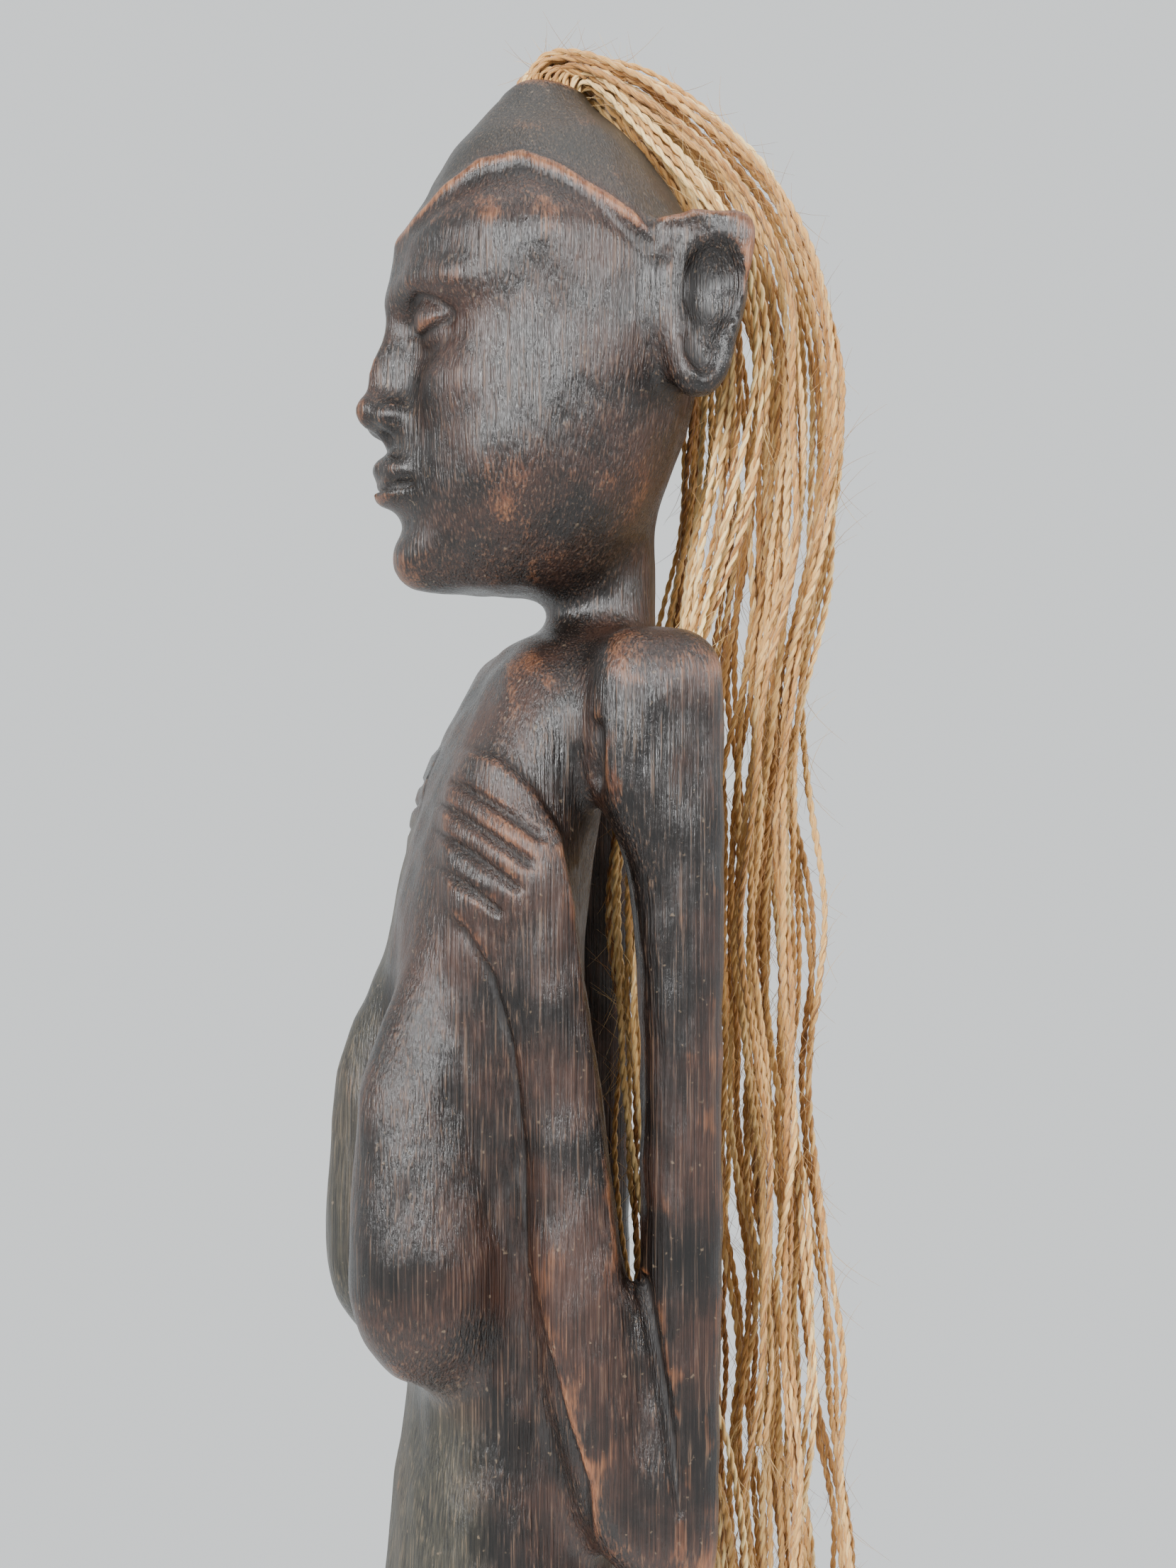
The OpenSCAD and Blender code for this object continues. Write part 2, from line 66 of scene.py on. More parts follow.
# ---- Twine hair ---------------------------------------------------------------------------------------------
# Bast twine of two plies, cut into lengths and pegged into the crown. Eighteen locks leave the tuft, each of
# three twines that hang together: one by itself and two that stay close. They fall freely to the hips.

MM = 0.001
root_low, root_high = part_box("hair_root")
hair_at = np.array((0.0, root_high.y + 30 * MM, crown_z))
hole_y = root_low.y + 12 * MM

# The locks' routes in millimetres from a point 30 mm behind the hair root at the crown's height, the inner locks
# first.
LOCK_ROUTES = [
    # Inner locks: close over the cap, then down through the channel between the arms.
    [[-18, -30, -15], [-18, -26, -15], [-26, -16, -29], [-32, -4, -44], [-36, 7, -62], [-37, 12, -84],
     [-35, 12, -112], [-32, 7, -142], [-30, 0, -172], [-28, -7, -205], [-27, -16, -245], [-28, -19, -290],
     [-26, -18, -335], [-27, -15, -380], [-28, -10, -425], [-29, -2, -470], [-29, 4, -520], [-31, 8, -570]],
    [[-11, -30, -11], [-11, -26, -11], [-16, -16, -23], [-20, -5, -37], [-22, 4, -55], [-23, 8, -78],
     [-22, 9, -105], [-20, 6, -135], [-19, 2, -165], [-18, -4, -200], [-17, -13, -240], [-18, -15, -285],
     [-16, -13, -330], [-18, -11, -375], [-19, -4, -420], [-18, 3, -465], [-20, 7, -515], [-19, 9, -548]],
    [[-4, -30, -9], [-4, -26, -9], [-6, -16, -20], [-7, -5, -34], [-8, 4, -53], [-9, 9, -76],
     [-8, 10, -104], [-7, 7, -134], [-7, 1, -166], [-6, -6, -202], [-7, -17, -240], [-8, -21, -285],
     [-6, -20, -330], [-8, -17, -375], [-9, -8, -420], [-8, 0, -465], [-9, 6, -515], [-8, 10, -575]],
    [[4, -30, -9], [4, -26, -9], [6, -16, -20], [7, -5, -34], [8, 4, -53], [8, 9, -76],
     [7, 11, -104], [6, 9, -134], [5, 3, -166], [5, -3, -202], [4, -13, -242], [3, -15, -287],
     [5, -14, -332], [3, -12, -377], [2, -4, -422], [3, 3, -467], [2, 8, -517], [3, 11, -590]],
    [[11, -30, -11], [11, -26, -11], [16, -16, -23], [20, -5, -37], [22, 4, -55], [22, 8, -78],
     [21, 8, -105], [19, 5, -135], [17, 0, -166], [16, -7, -200], [15, -18, -240], [14, -22, -285],
     [16, -20, -330], [14, -18, -375], [13, -9, -420], [14, -2, -465], [12, 5, -515], [13, 8, -562]],
    [[18, -30, -15], [18, -26, -15], [26, -16, -29], [32, -4, -44], [36, 7, -62], [36, 12, -84],
     [34, 12, -112], [31, 7, -142], [29, -1, -172], [28, -9, -205], [27, -15, -245], [26, -16, -290],
     [28, -15, -335], [27, -12, -380], [25, -5, -425], [26, 1, -470], [24, 6, -520], [25, 8, -558]],

    # Middle locks: the body of the hair, hanging behind the arms.
    [[-18, -30, -8], [-18, -26, -8], [-25, -13, -19], [-31, 1, -33], [-36, 14, -51], [-38, 23, -75],
     [-37, 26, -104], [-35, 26, -135], [-33, 22, -170], [-31, 17, -205], [-30, 17, -245], [-32, 16, -290],
     [-29, 17, -335], [-31, 19, -380], [-28, 20, -425], [-31, 21, -470], [-30, 25, -520], [-32, 27, -580]],
    [[-11, -30, -4], [-11, -26, -4], [-15, -13, -14], [-19, 1, -27], [-22, 13, -45], [-24, 22, -70],
     [-24, 27, -99], [-23, 28, -131], [-21, 25, -167], [-19, 20, -204], [-19, 21, -245], [-21, 19, -290],
     [-18, 21, -335], [-20, 23, -380], [-17, 24, -425], [-19, 25, -470], [-18, 29, -520], [-21, 30, -606]],
    [[-4, -30, -2], [-4, -26, -2], [-5, -13, -11], [-6, 1, -24], [-7, 12, -42], [-8, 21, -67],
     [-8, 27, -97], [-8, 28, -130], [-7, 25, -166], [-7, 21, -204], [-8, 17, -245], [-9, 15, -290],
     [-7, 17, -335], [-9, 18, -380], [-6, 19, -425], [-8, 20, -470], [-7, 24, -520], [-9, 26, -566]],
    [[4, -30, -2], [4, -26, -2], [5, -13, -11], [6, 1, -24], [7, 12, -42], [8, 21, -67],
     [8, 28, -97], [7, 30, -130], [6, 28, -166], [5, 24, -204], [4, 24, -245], [3, 21, -290],
     [5, 23, -335], [3, 25, -380], [5, 26, -425], [3, 27, -470], [4, 31, -520], [3, 33, -596]],
    [[11, -30, -4], [11, -26, -4], [15, -13, -14], [19, 1, -27], [22, 13, -45], [23, 22, -70],
     [23, 27, -99], [22, 27, -131], [20, 23, -167], [18, 19, -204], [17, 16, -245], [16, 14, -290],
     [18, 16, -335], [16, 18, -380], [18, 18, -425], [16, 19, -470], [15, 23, -520], [16, 25, -570]],
    [[18, -30, -8], [18, -26, -8], [25, -13, -19], [31, 1, -33], [35, 14, -51], [37, 23, -75],
     [36, 25, -104], [34, 24, -135], [32, 20, -170], [30, 15, -205], [29, 14, -245], [28, 12, -290],
     [30, 14, -335], [28, 15, -380], [30, 15, -425], [28, 15, -470], [29, 14, -494]],

    # Outer locks: over the top of the others, with the widest swing away from the nape.
    [[-18, -30, -1], [-18, -26, -1], [-22, -11, -10], [-26, 4, -22], [-29, 19, -38], [-31, 31, -62],
     [-31, 38, -90], [-29, 41, -122], [-26, 38, -160], [-22, 32, -200], [-20, 33, -245], [-22, 35, -290],
     [-20, 36, -335], [-18, 37, -380], [-17, 40, -425], [-19, 44, -470], [-18, 47, -520], [-20, 47, -594]],
    [[-11, -30, 3], [-11, -26, 3], [-13, -11, -4], [-16, 5, -16], [-18, 20, -32], [-20, 33, -56],
     [-20, 41, -85], [-19, 45, -118], [-16, 42, -157], [-13, 34, -200], [-12, 37, -245], [-13, 40, -290],
     [-11, 40, -335], [-10, 44, -380], [-9, 47, -425], [-10, 50, -470], [-9, 54, -520], [-8, 58, -612]],
    [[-4, -30, 5], [-4, -26, 5], [-5, -11, -1], [-6, 5, -13], [-6, 21, -29], [-7, 35, -53],
     [-7, 44, -83], [-6, 47, -117], [-5, 43, -157], [-4, 34, -200], [-5, 30, -245], [-4, 29, -290],
     [-3, 31, -335], [-4, 33, -380], [-2, 36, -425], [-3, 38, -470], [-2, 40, -520], [-4, 39, -588]],
    [[4, -30, 5], [4, -26, 5], [5, -11, -1], [6, 5, -13], [6, 21, -29], [6, 35, -53],
     [6, 45, -83], [5, 48, -117], [4, 45, -157], [4, 38, -200], [3, 39, -245], [5, 40, -290],
     [4, 42, -335], [4, 46, -380], [5, 49, -425], [4, 51, -470], [5, 56, -520], [6, 60, -580]],
    [[11, -30, 3], [11, -26, 3], [13, -11, -4], [16, 5, -16], [18, 20, -32], [19, 33, -56],
     [19, 42, -85], [17, 46, -118], [15, 41, -157], [13, 33, -200], [12, 30, -245], [13, 28, -290],
     [11, 30, -335], [12, 32, -380], [13, 35, -425], [12, 36, -470], [11, 39, -520], [12, 41, -604]],
    [[18, -30, -1], [18, -26, -1], [22, -11, -10], [26, 4, -22], [29, 19, -38], [30, 31, -62],
     [30, 39, -90], [27, 41, -122], [24, 37, -160], [21, 29, -200], [20, 24, -245], [21, 26, -290],
     [20, 27, -335], [21, 28, -380], [22, 27, -425], [22, 29, -470], [23, 29, -520], [24, 30, -572]],
]

TWINE_D = 2.35 * MM
PAIR_D = 5.0 * MM
PLY_OFF = 0.52 * MM
PLY_R = 0.73 * MM
PLY_SIDES = 5
TWIST_PITCH = 10.5 * MM
RING_GAP = 1.1 * MM


def smooth_line(points, gap):
    """A smooth curve through given points, with even steps of about gap."""
    p = np.asarray(points, float)
    ends = np.vstack([p[:1], p, p[-1:]])
    t = np.linspace(0, 1, 24, endpoint=False)[:, None]
    runs = []
    for a, b, c, d in zip(ends, ends[1:], ends[2:], ends[3:]):
        bend = (2 * a - 5 * b + 4 * c - d) * t**2 + (3 * b - a - 3 * c + d) * t**3
        runs.append(0.5 * (2 * b + (c - a) * t + bend))
    line = np.vstack(runs + [p[-1:]])
    along = np.concatenate([[0], np.cumsum(np.linalg.norm(np.diff(line, axis=0), axis=1))])
    at = np.linspace(0, along[-1], int(along[-1] / gap) + 1)
    return np.stack([np.interp(at, along, line[:, k]) for k in range(3)], axis=1)


def ring_frames(line):
    """Two side vectors at each point of a line, carried along it without twist."""
    ahead = np.gradient(line, axis=0)
    ahead /= np.linalg.norm(ahead, axis=1)[:, None]
    side = np.cross(ahead[0], (0.0, 0.3, 1.0))
    sides = []
    for d in ahead:
        side = side - d * side.dot(d)
        side = side / np.linalg.norm(side)
        sides.append(side)
    sides = np.array(sides)
    return sides, np.cross(ahead, sides)


def tube_parts(line, radius, sides, u_at=0.0):
    """Points, faces and corner UVs of a closed tube: V runs along it in metres, and U is its own column."""
    a, b = ring_frames(line)
    turn = np.linspace(0, 2 * math.pi, sides, endpoint=False)
    reach = np.broadcast_to(np.asarray(radius, float), (len(line),))[:, None, None]
    rings = line[:, None] + reach * (
        np.cos(turn)[None, :, None] * a[:, None] + np.sin(turn)[None, :, None] * b[:, None]
    )
    n = len(line)
    i, k = np.meshgrid(np.arange(n - 1), np.arange(sides), indexing="ij")
    k2 = (k + 1) % sides
    quads = np.stack([i * sides + k, i * sides + k2, (i + 1) * sides + k2, (i + 1) * sides + k], axis=-1)
    along = np.concatenate([[0], np.cumsum(np.linalg.norm(np.diff(line, axis=0), axis=1))])
    u = np.stack([k, k + 1, k + 1, k], axis=-1) / sides + u_at
    v = along[np.stack([i, i, i + 1, i + 1], axis=-1)]
    uv = np.stack([u, v], axis=-1).reshape(-1, 2)
    caps = [list(range(sides))[::-1], list(range((n - 1) * sides, n * sides))]
    cap_uv = np.tile([u_at, 0.0], (2 * sides, 1))
    return rings.reshape(-1, 3), quads.reshape(-1, 4).tolist() + caps, np.vstack([uv, cap_uv])


def mesh_piece(name, parts):
    """One object from several tubes' points, faces and UVs."""
    points, faces, uvs, first = [], [], [], 0
    for p, f, uv in parts:
        points.append(p)
        faces += [[first + v for v in face] for face in f]
        uvs.append(uv)
        first += len(p)
    mesh = bpy.data.meshes.new(name)
    mesh.from_pydata(np.vstack(points).tolist(), [], faces)
    layer = mesh.uv_layers.new(name="along")
    layer.data.foreach_set("uv", np.vstack(uvs).astype(np.float32).ravel())
    mesh.polygons.foreach_set("use_smooth", np.ones(len(mesh.polygons), bool))
    piece = bpy.data.objects.new(name, mesh)
    bpy.context.scene.collection.objects.link(piece)
    return piece


def sway(count, gap, rng, waves):
    """A slow sideways wander along a line, as two columns; waves is (wave length, reach) pairs."""
    s = np.arange(count) * gap
    out = np.zeros((count, 2))
    for length, reach_of in waves:
        for k in range(2):
            stretch = length * rng.uniform(0.8, 1.25)
            out[:, k] += reach_of * np.sin(2 * math.pi * (s / stretch + rng.random()))
    return out


STEP = 2.5 * MM
rng = np.random.default_rng(11)
twine_lines = []
for number, route in enumerate(LOCK_ROUTES):
    layer = number // 6
    start = np.array(route[0], float) * MM + hair_at
    rise = (2.0, 5.0, 8.0)[layer] * MM
    from_y = hole_y + (7.0, 0.5, -6.5)[layer] * MM
    throat = [
        (start[0] * 0.38, from_y, crown_z - 9 * MM),
        (start[0] * 0.42, from_y - 1 * MM, crown_z - 1 * MM),
        (start[0] * 0.60, from_y + 5 * MM, crown_z + 0.8 * rise),
    ]
    body = [tuple(np.array(p, float) * MM + hair_at) for p in route[1:]]
    middle = smooth_line(throat + body, STEP)
    side, up = ring_frames(middle)
    n = len(middle)
    s = np.arange(n) * STEP
    spread = np.interp(s, [0, 0.02, 0.10, 0.25, 0.60], [0.9 * MM, 1.3 * MM, 2.0 * MM, 2.7 * MM, 3.3 * MM])
    loose = np.interp(s, [0, 0.06, 0.20, 0.60], [0.0, 0.35, 0.8, 1.5])[:, None]
    shared = sway(n, STEP, rng, [(0.21, 1.6 * MM), (0.11, 0.7 * MM)]) * loose
    turn_to = rng.uniform(0, 2 * math.pi) + s * rng.uniform(-7, 7)
    lone = shared + sway(n, STEP, rng, [(0.16, 1.6 * MM), (0.07, 0.5 * MM)]) * loose
    lone += spread[:, None] * np.stack([np.cos(turn_to), np.sin(turn_to)], axis=1)
    close = shared + sway(n, STEP, rng, [(0.15, 0.8 * MM)]) * loose
    close -= 0.8 * spread[:, None] * np.stack([np.cos(turn_to), np.sin(turn_to)], axis=1)
    wind = rng.uniform(0, 6) + s * rng.choice([-1, 1]) * rng.uniform(35, 65)
    apart = np.interp(s, [0, 0.05], [1.0 * MM, 1.35 * MM])[:, None]
    beside = apart * np.stack([np.cos(wind), np.sin(wind)], axis=1)
    ends = n - rng.integers(0, 22, 2)
    for offset, end in ((lone, ends[0]), (close + beside, ends[1]), (close - beside, ends[1])):
        line = middle + offset[:, :1] * side + offset[:, 1:] * up
        twine_lines.append(line[:end])

# Twines lie beside each other and on the wood, so each is pushed clear of both over a few rounds.
cad_wood = BVHTree.FromObject(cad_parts["carved_figure"], bpy.context.evaluated_depsgraph_get())
skin_gap = 1.7 * MM
SETTLING_ROUNDS = 7
RIM_TURN = 12
for _ in range(SETTLING_ROUNDS):
    total = sum(len(line) for line in twine_lines)
    tree = kdtree.KDTree(total)
    owner = np.concatenate([np.full(len(line), t) for t, line in enumerate(twine_lines)])
    every = np.vstack(twine_lines)
    for j, p in enumerate(every):
        tree.insert(p, j)
    tree.balance()
    push = np.zeros_like(every)
    for j, p in enumerate(every):
        if p[2] > crown_z - 1 * MM and p[1] < hole_y + 8 * MM:
            continue
        for other, k, gap in tree.find_range(p, TWINE_D):
            if owner[k] != owner[j] and gap > 1e-6:
                push[j] += (p - np.array(other)) / gap * (TWINE_D - gap) * 0.5
    moved, first = [], 0
    for line in twine_lines:
        step_push = push[first : first + len(line)]
        first += len(line)
        for _ in range(3):
            padded_push = np.vstack([step_push[:1], step_push, step_push[-1:]])
            step_push = (padded_push[:-2] + 2 * padded_push[1:-1] + padded_push[2:]) / 4
        moved.append(line + 1.3 * step_push)
    for line in moved:
        # The first 3 cm turn over the rim of the hole, in one even bend.
        line[1:RIM_TURN] = 0.5 * line[1:RIM_TURN] + 0.25 * (line[: RIM_TURN - 1] + line[2 : RIM_TURN + 1])
        for j in range(3, len(line)):
            near, normal, _, _ = cad_wood.find_nearest(Vector(line[j]), 0.012)
            if near is None:
                continue
            out = (Vector(line[j]) - near).dot(normal)
            x, y, z = line[j]
            hidden = z > crown_z - 14 * MM and abs(x) < 12 * MM and y < hole_y + 12 * MM
            if out < skin_gap and not hidden:
                line[j] += np.array(normal) * (skin_gap - out) * 0.6
    twine_lines = moved


def plies(line, phase, column):
    """The two plies of one twine: they wind about its line, half a turn apart."""
    fine = smooth_line(line, RING_GAP)
    side, up = ring_frames(fine)
    ring = np.arange(len(fine))
    turn = phase + 2 * math.pi * ring * RING_GAP / TWIST_PITCH
    own_size = 0.88 + 0.2 * (0.618 * column % 1)
    thick = own_size + 0.08 * np.sin(ring * 0.11 + phase) + 0.06 * np.sin(ring * 0.37)
    parts = []
    for half in (0.0, math.pi):
        c, q = np.cos(turn + half)[:, None], np.sin(turn + half)[:, None]
        axis = fine + PLY_OFF * thick[:, None] * (c * side + q * up)
        width = PLY_R * thick
        width[-3:] *= (0.9, 0.7, 0.45)
        parts.append(tube_parts(axis, width, PLY_SIDES, u_at=column + (0.5 if half else 0.0)))
    return parts


twines = []
for number in range(len(LOCK_ROUTES)):
    lone, left, right = twine_lines[3 * number : 3 * number + 3]
    phase = rng.uniform(0, 6, 3)
    column = 3.0 * number
    single = mesh_piece(f"twine_{number + 1:02d}_single", plies(lone, phase[0], column))
    pair = mesh_piece(
        f"twine_{number + 1:02d}_pair",
        plies(left, phase[1], column + 1) + plies(right, phase[2], column + 2),
    )
    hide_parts(f"hair_lock_{number + 1:02d}")
    for piece, line, thick in ((single, lone, TWINE_D), (pair, (left + right) / 2, PAIR_D)):
        path = smooth_line(line, STEP)
        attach(piece, "root")
        twines.append(piece)


def srgb(r, g, b):
    """A colour as a painter reads it, as the linear values that a shader takes."""
    return tuple(c / 12.92 if c <= 0.04045 else ((c + 0.055) / 1.055) ** 2.4 for c in (r, g, b)) + (1.0,)


class Finish:
    """A material being built: each call adds one node, sets its sockets and returns it."""

    def __init__(self, name):
        self.material = bpy.data.materials.new(name)
        self.material.use_nodes = True
        self.tree = self.material.node_tree
        self.shader = self.tree.nodes["Principled BSDF"]

    def add(self, kind, inputs=None, **settings):
        made = self.tree.nodes.new("ShaderNode" + kind)
        for key, value in settings.items():
            setattr(made, key, value)
        for key, value in (inputs or {}).items():
            if isinstance(value, bpy.types.NodeSocket):
                self.tree.links.new(value, made.inputs[key])
            else:
                made.inputs[key].default_value = value
        return made

    def ramp(self, factor, stops):
        made = self.add("ValToRGB", {"Fac": factor})
        spots = made.color_ramp.elements
        while len(spots) < len(stops):
            spots.new(0.5)
        for spot, (at, colour) in zip(spots, stops):
            spot.position = at
            spot.color = colour if len(colour) == 4 else (colour[0],) * 3 + (1.0,)
        return made.outputs["Color"]

    def noise(self, where, scale, detail=3.0, rough=0.6, stretch=None):
        if stretch:
            where = self.add("Mapping", {"Vector": where, "Scale": stretch}).outputs["Vector"]
        made = self.add("TexNoise", {"Vector": where, "Scale": scale, "Detail": detail, "Roughness": rough})
        return made.outputs["Fac"]

    def mix(self, factor, a, b):
        made = self.add("Mix", data_type="RGBA")
        for key, value in ((0, factor), (6, a), (7, b)):
            if isinstance(value, bpy.types.NodeSocket):
                self.tree.links.new(value, made.inputs[key])
            else:
                made.inputs[key].default_value = value
        return made.outputs[2]

    def math(self, operation, a, b=0.0, clamp=False):
        return self.add("Math", {0: a, 1: b}, operation=operation, use_clamp=clamp).outputs[0]

    def bump(self, height, distance, strength=1.0, under=None):
        inputs = {"Height": height, "Distance": distance, "Strength": strength}
        if under is not None:
            inputs["Normal"] = under
        return self.add("Bump", inputs).outputs["Normal"]

    def to_shader(self, **sockets):
        for key, value in sockets.items():
            name = key.replace("_", " ")
            if isinstance(value, bpy.types.NodeSocket):
                self.tree.links.new(value, self.shader.inputs[name])
            else:
                self.shader.inputs[name].default_value = value
        return self.material


# Dry straw-coloured fibre: pale streaks along each ply, darker in the twist, and each twine its own tint.
twine = Finish("twine_fibre")
along = twine.add("UVMap", uv_map="along").outputs["UV"]
column = twine.add("SeparateXYZ", {"Vector": along}).outputs["X"]
own = twine.add("TexWhiteNoise", {"W": twine.math("FLOOR", column)}, noise_dimensions="1D").outputs["Value"]
streak = twine.noise(along, 1.0, 4.0, 0.65, stretch=(9.0, 160.0, 1.0))
patchy = twine.noise(along, 1.0, 2.0, 0.5, stretch=(1.0, 22.0, 1.0))
tone = twine.math("ADD", twine.math("MULTIPLY", streak, 0.62), twine.math("MULTIPLY", patchy, 0.30))
tone = twine.math("ADD", tone, twine.math("MULTIPLY", twine.math("SUBTRACT", own, 0.5), 0.34))
straw = twine.ramp(
    tone,
    [
        (0.22, srgb(0.38, 0.225, 0.095)),
        (0.36, srgb(0.66, 0.465, 0.235)),
        (0.50, srgb(0.78, 0.61, 0.36)),
        (0.66, srgb(0.92, 0.80, 0.56)),
    ],
)
twine.to_shader(
    Base_Color=straw,
    Roughness=twine.ramp(streak, [(0.3, (0.82,)), (0.7, (0.6,))]),
    Normal=twine.bump(streak, 0.0004, 0.7),
)
twine.shader.inputs["Sheen Weight"].default_value = 0.25
twine.shader.inputs["Sheen Roughness"].default_value = 0.5
twine.shader.inputs["Specular IOR Level"].default_value = 0.35
for piece in twines:
    piece.data.materials.append(twine.material)

# ---- Loose fibres -------------------------------------------------------------------------------------------
# Single hairs of the same bast: those that the twist has let go along each twine, and the frayed brush at
# each cut end. They are part of the twines and are fixed by nothing else.

FRAYED_HAIRS, FRAYED_R = 9, 0.16 * MM
STRAY_HAIRS, STRAY_R = 64, 0.105 * MM
FIBRE_SIDES = 3
hairs = []
for t, line in enumerate(twine_lines):
    ahead = line[-1] - line[-3]
    ahead /= np.linalg.norm(ahead)
    own_column = 3.0 * (t // 3) + t % 3
    for k in range(FRAYED_HAIRS):
        reach_of = rng.uniform(9, 26) * MM
        lean = rng.normal(0, 0.22, 3)
        droop = np.linspace(0, 1, 5)[:, None]
        away = ahead + lean
        path = line[-2] + rng.normal(0, 0.4 * MM, 3) + droop * reach_of * away + droop**2 * lean * 4 * MM
        hairs.append(tube_parts(path, FRAYED_R * (1.15 - droop[:, 0]), FIBRE_SIDES, u_at=own_column))
    for k in range(STRAY_HAIRS):
        j = int(rng.integers(4, len(line) - 3))
        fibre = rng.uniform(6, 26) * MM
        ahead_here = line[j + 1] - line[j]
        ahead_here = ahead_here / np.linalg.norm(ahead_here) * rng.choice([-1, 1])
        out = rng.normal(0, 1, 3)
        out -= ahead_here * out.dot(ahead_here)
        out /= np.linalg.norm(out)
        bow = np.linspace(0, 1, 5)[:, None]
        lift = rng.uniform(0.25, 0.8)
        path = line[j] + out * 0.8 * MM + fibre * (bow * ahead_here * 0.75 + bow**1.6 * out * lift)
        hairs.append(tube_parts(path, STRAY_R * (1.3 - bow[:, 0]), FIBRE_SIDES, u_at=own_column))
loose_fibres = mesh_piece("loose_fibres", hairs)
loose_fibres.data.materials.append(twine.material)
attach(loose_fibres, "root")

# ---- Hair root ----------------------------------------------------------------------------------------------
# The short ends of the twine, bound and wedged in the crown hole. They fill the hole and make the low tuft
# that the locks lie over.

TUFT_COLUMN = 200.0
stubs = []
for ring_r, count in ((2.2, 6), (5.0, 12), (7.8, 18), (10.2, 22)):
    for k in range(count):
        turn = 2 * math.pi * (k + rng.uniform(-0.2, 0.2)) / count
        x, y = ring_r * math.cos(turn), ring_r * math.sin(turn)
        top = 5.5 - 0.035 * ring_r**2
        lean_back = 3.5 + 0.10 * (10 - y) + rng.uniform(-1, 1)
        stub = np.array(
            [
                (x * 0.95, y * 0.95, -12.0),
                (x, y, -3.0),
                (x * 1.02, y + 0.25 * lean_back, 0.6 * top),
                (x * 1.05, y + lean_back, top + rng.uniform(-0.6, 0.8)),
                (x * 1.10, y + 2.4 * lean_back, top - 1.5 + rng.uniform(-0.8, 0.4)),
            ]
        )
        at = np.array((0.0, hole_y, crown_z)) + stub * MM
        stubs += plies(smooth_line(at, 1.5 * MM), rng.uniform(0, 6), TUFT_COLUMN + 3 * len(stubs))
root_tuft = mesh_piece("root_tuft", stubs)
root_tuft.data.materials.append(twine.material)
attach(root_tuft, "root")
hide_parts("hair_root")

# ---- Carved figure ------------------------------------------------------------------------------------------
# One log of dark hardwood, carved whole with adze and knife, then rubbed with oil and handled until the high
# spots wore through to the tan wood. It is roughed out first, then its forms are added, cut and cleaned up.

ROUGH_VOXEL = 2.2 * MM
FINE_VOXEL = 1.5 * MM
CUTTER_VOXEL = 1.2 * MM
FIGURE_TRIANGLES = 192000
LOG_SMOOTHING, LOG_SWELL = 26, 0.35 * MM
BREAST_SMOOTHING = 36
NEAR_FORM_SMOOTHING, BROAD_FORM_SMOOTHING = 7, 60
ADZE_MARK, ADZE_DEPTH = 0.016, 0.6 * MM
JAW = crown_z - 172 * MM
BRIM = JAW + 113 * MM
SHOULDER = JAW - 14 * MM
HEAD_Y = 11 * MM


def only(piece):
    """Makes one object the only selected one, and the active one."""
    bpy.ops.object.select_all(action="DESELECT")
    piece.select_set(True)
    bpy.context.view_layer.objects.active = piece


def apply_modifier(piece, kind, **settings):
    only(piece)
    bpy.ops.object.modifier_add(type=kind)
    modifier = piece.modifiers[-1]
    for key, value in settings.items():
        setattr(modifier, key, value)
    bpy.ops.object.modifier_apply(modifier=modifier.name)


def lump(x, y, z, size, tilt=(0, 0, 0), both=False):
    """A rounded form at its place in millimetres, with size as its three half widths; both adds its mirror."""
    made = []
    for side in (1, -1) if both else (1,):
        bpy.ops.mesh.primitive_uv_sphere_add(
            segments=32,
            ring_count=16,
            location=(side * x * MM, y * MM, z),
            rotation=(math.radians(tilt[0]), math.radians(side * tilt[1]), math.radians(side * tilt[2])),
            scale=[v * MM for v in size],
        )
        made.append(bpy.context.object)
    return made


def join(pieces, into):
    bpy.ops.object.select_all(action="DESELECT")
    for piece in pieces:
        piece.select_set(True)
    into.select_set(True)
    bpy.context.view_layer.objects.active = into
    bpy.ops.object.join()
    only(into)
    bpy.ops.object.transform_apply(location=True, rotation=True, scale=True)


def points_of(piece):
    flat = np.empty(len(piece.data.vertices) * 3, np.float32)
    piece.data.vertices.foreach_get("co", flat)
    return flat.reshape(-1, 3).astype(float)


def normals_of(piece):
    flat = np.empty(len(piece.data.vertices) * 3, np.float32)
    piece.data.vertices.foreach_get("normal", flat)
    return flat.reshape(-1, 3).astype(float)


def move_points(piece, points):
    piece.data.vertices.foreach_set("co", points.astype(np.float32).ravel())
    piece.data.update()


def softened(piece, points, times):
    """The points after each is drawn half way to the mean of its neighbours, a number of times."""
    flat = np.empty(len(piece.data.edges) * 2, np.int32)
    piece.data.edges.foreach_get("vertices", flat)
    a, b = flat.reshape(-1, 2).T
    n = len(points)
    count = np.maximum(np.bincount(a, minlength=n) + np.bincount(b, minlength=n), 1)[:, None]
    for _ in range(times):
        total = np.stack(
            [np.bincount(a, points[b, k], n) + np.bincount(b, points[a, k], n) for k in range(3)], axis=1
        )
        points = 0.5 * points + 0.5 * total / count
    return points


def to_line(u, v, path):
    """Distance of each (u, v) to a line through given points, all in millimetres."""
    best = np.full(len(u), 1e9)
    for (au, av), (bu, bv) in zip(path, path[1:]):
        du, dv = bu - au, bv - av
        t = np.clip(((u - au) * du + (v - av) * dv) / (du * du + dv * dv), 0, 1)
        best = np.minimum(best, np.hypot(u - au - t * du, v - av - t * dv))
    return best


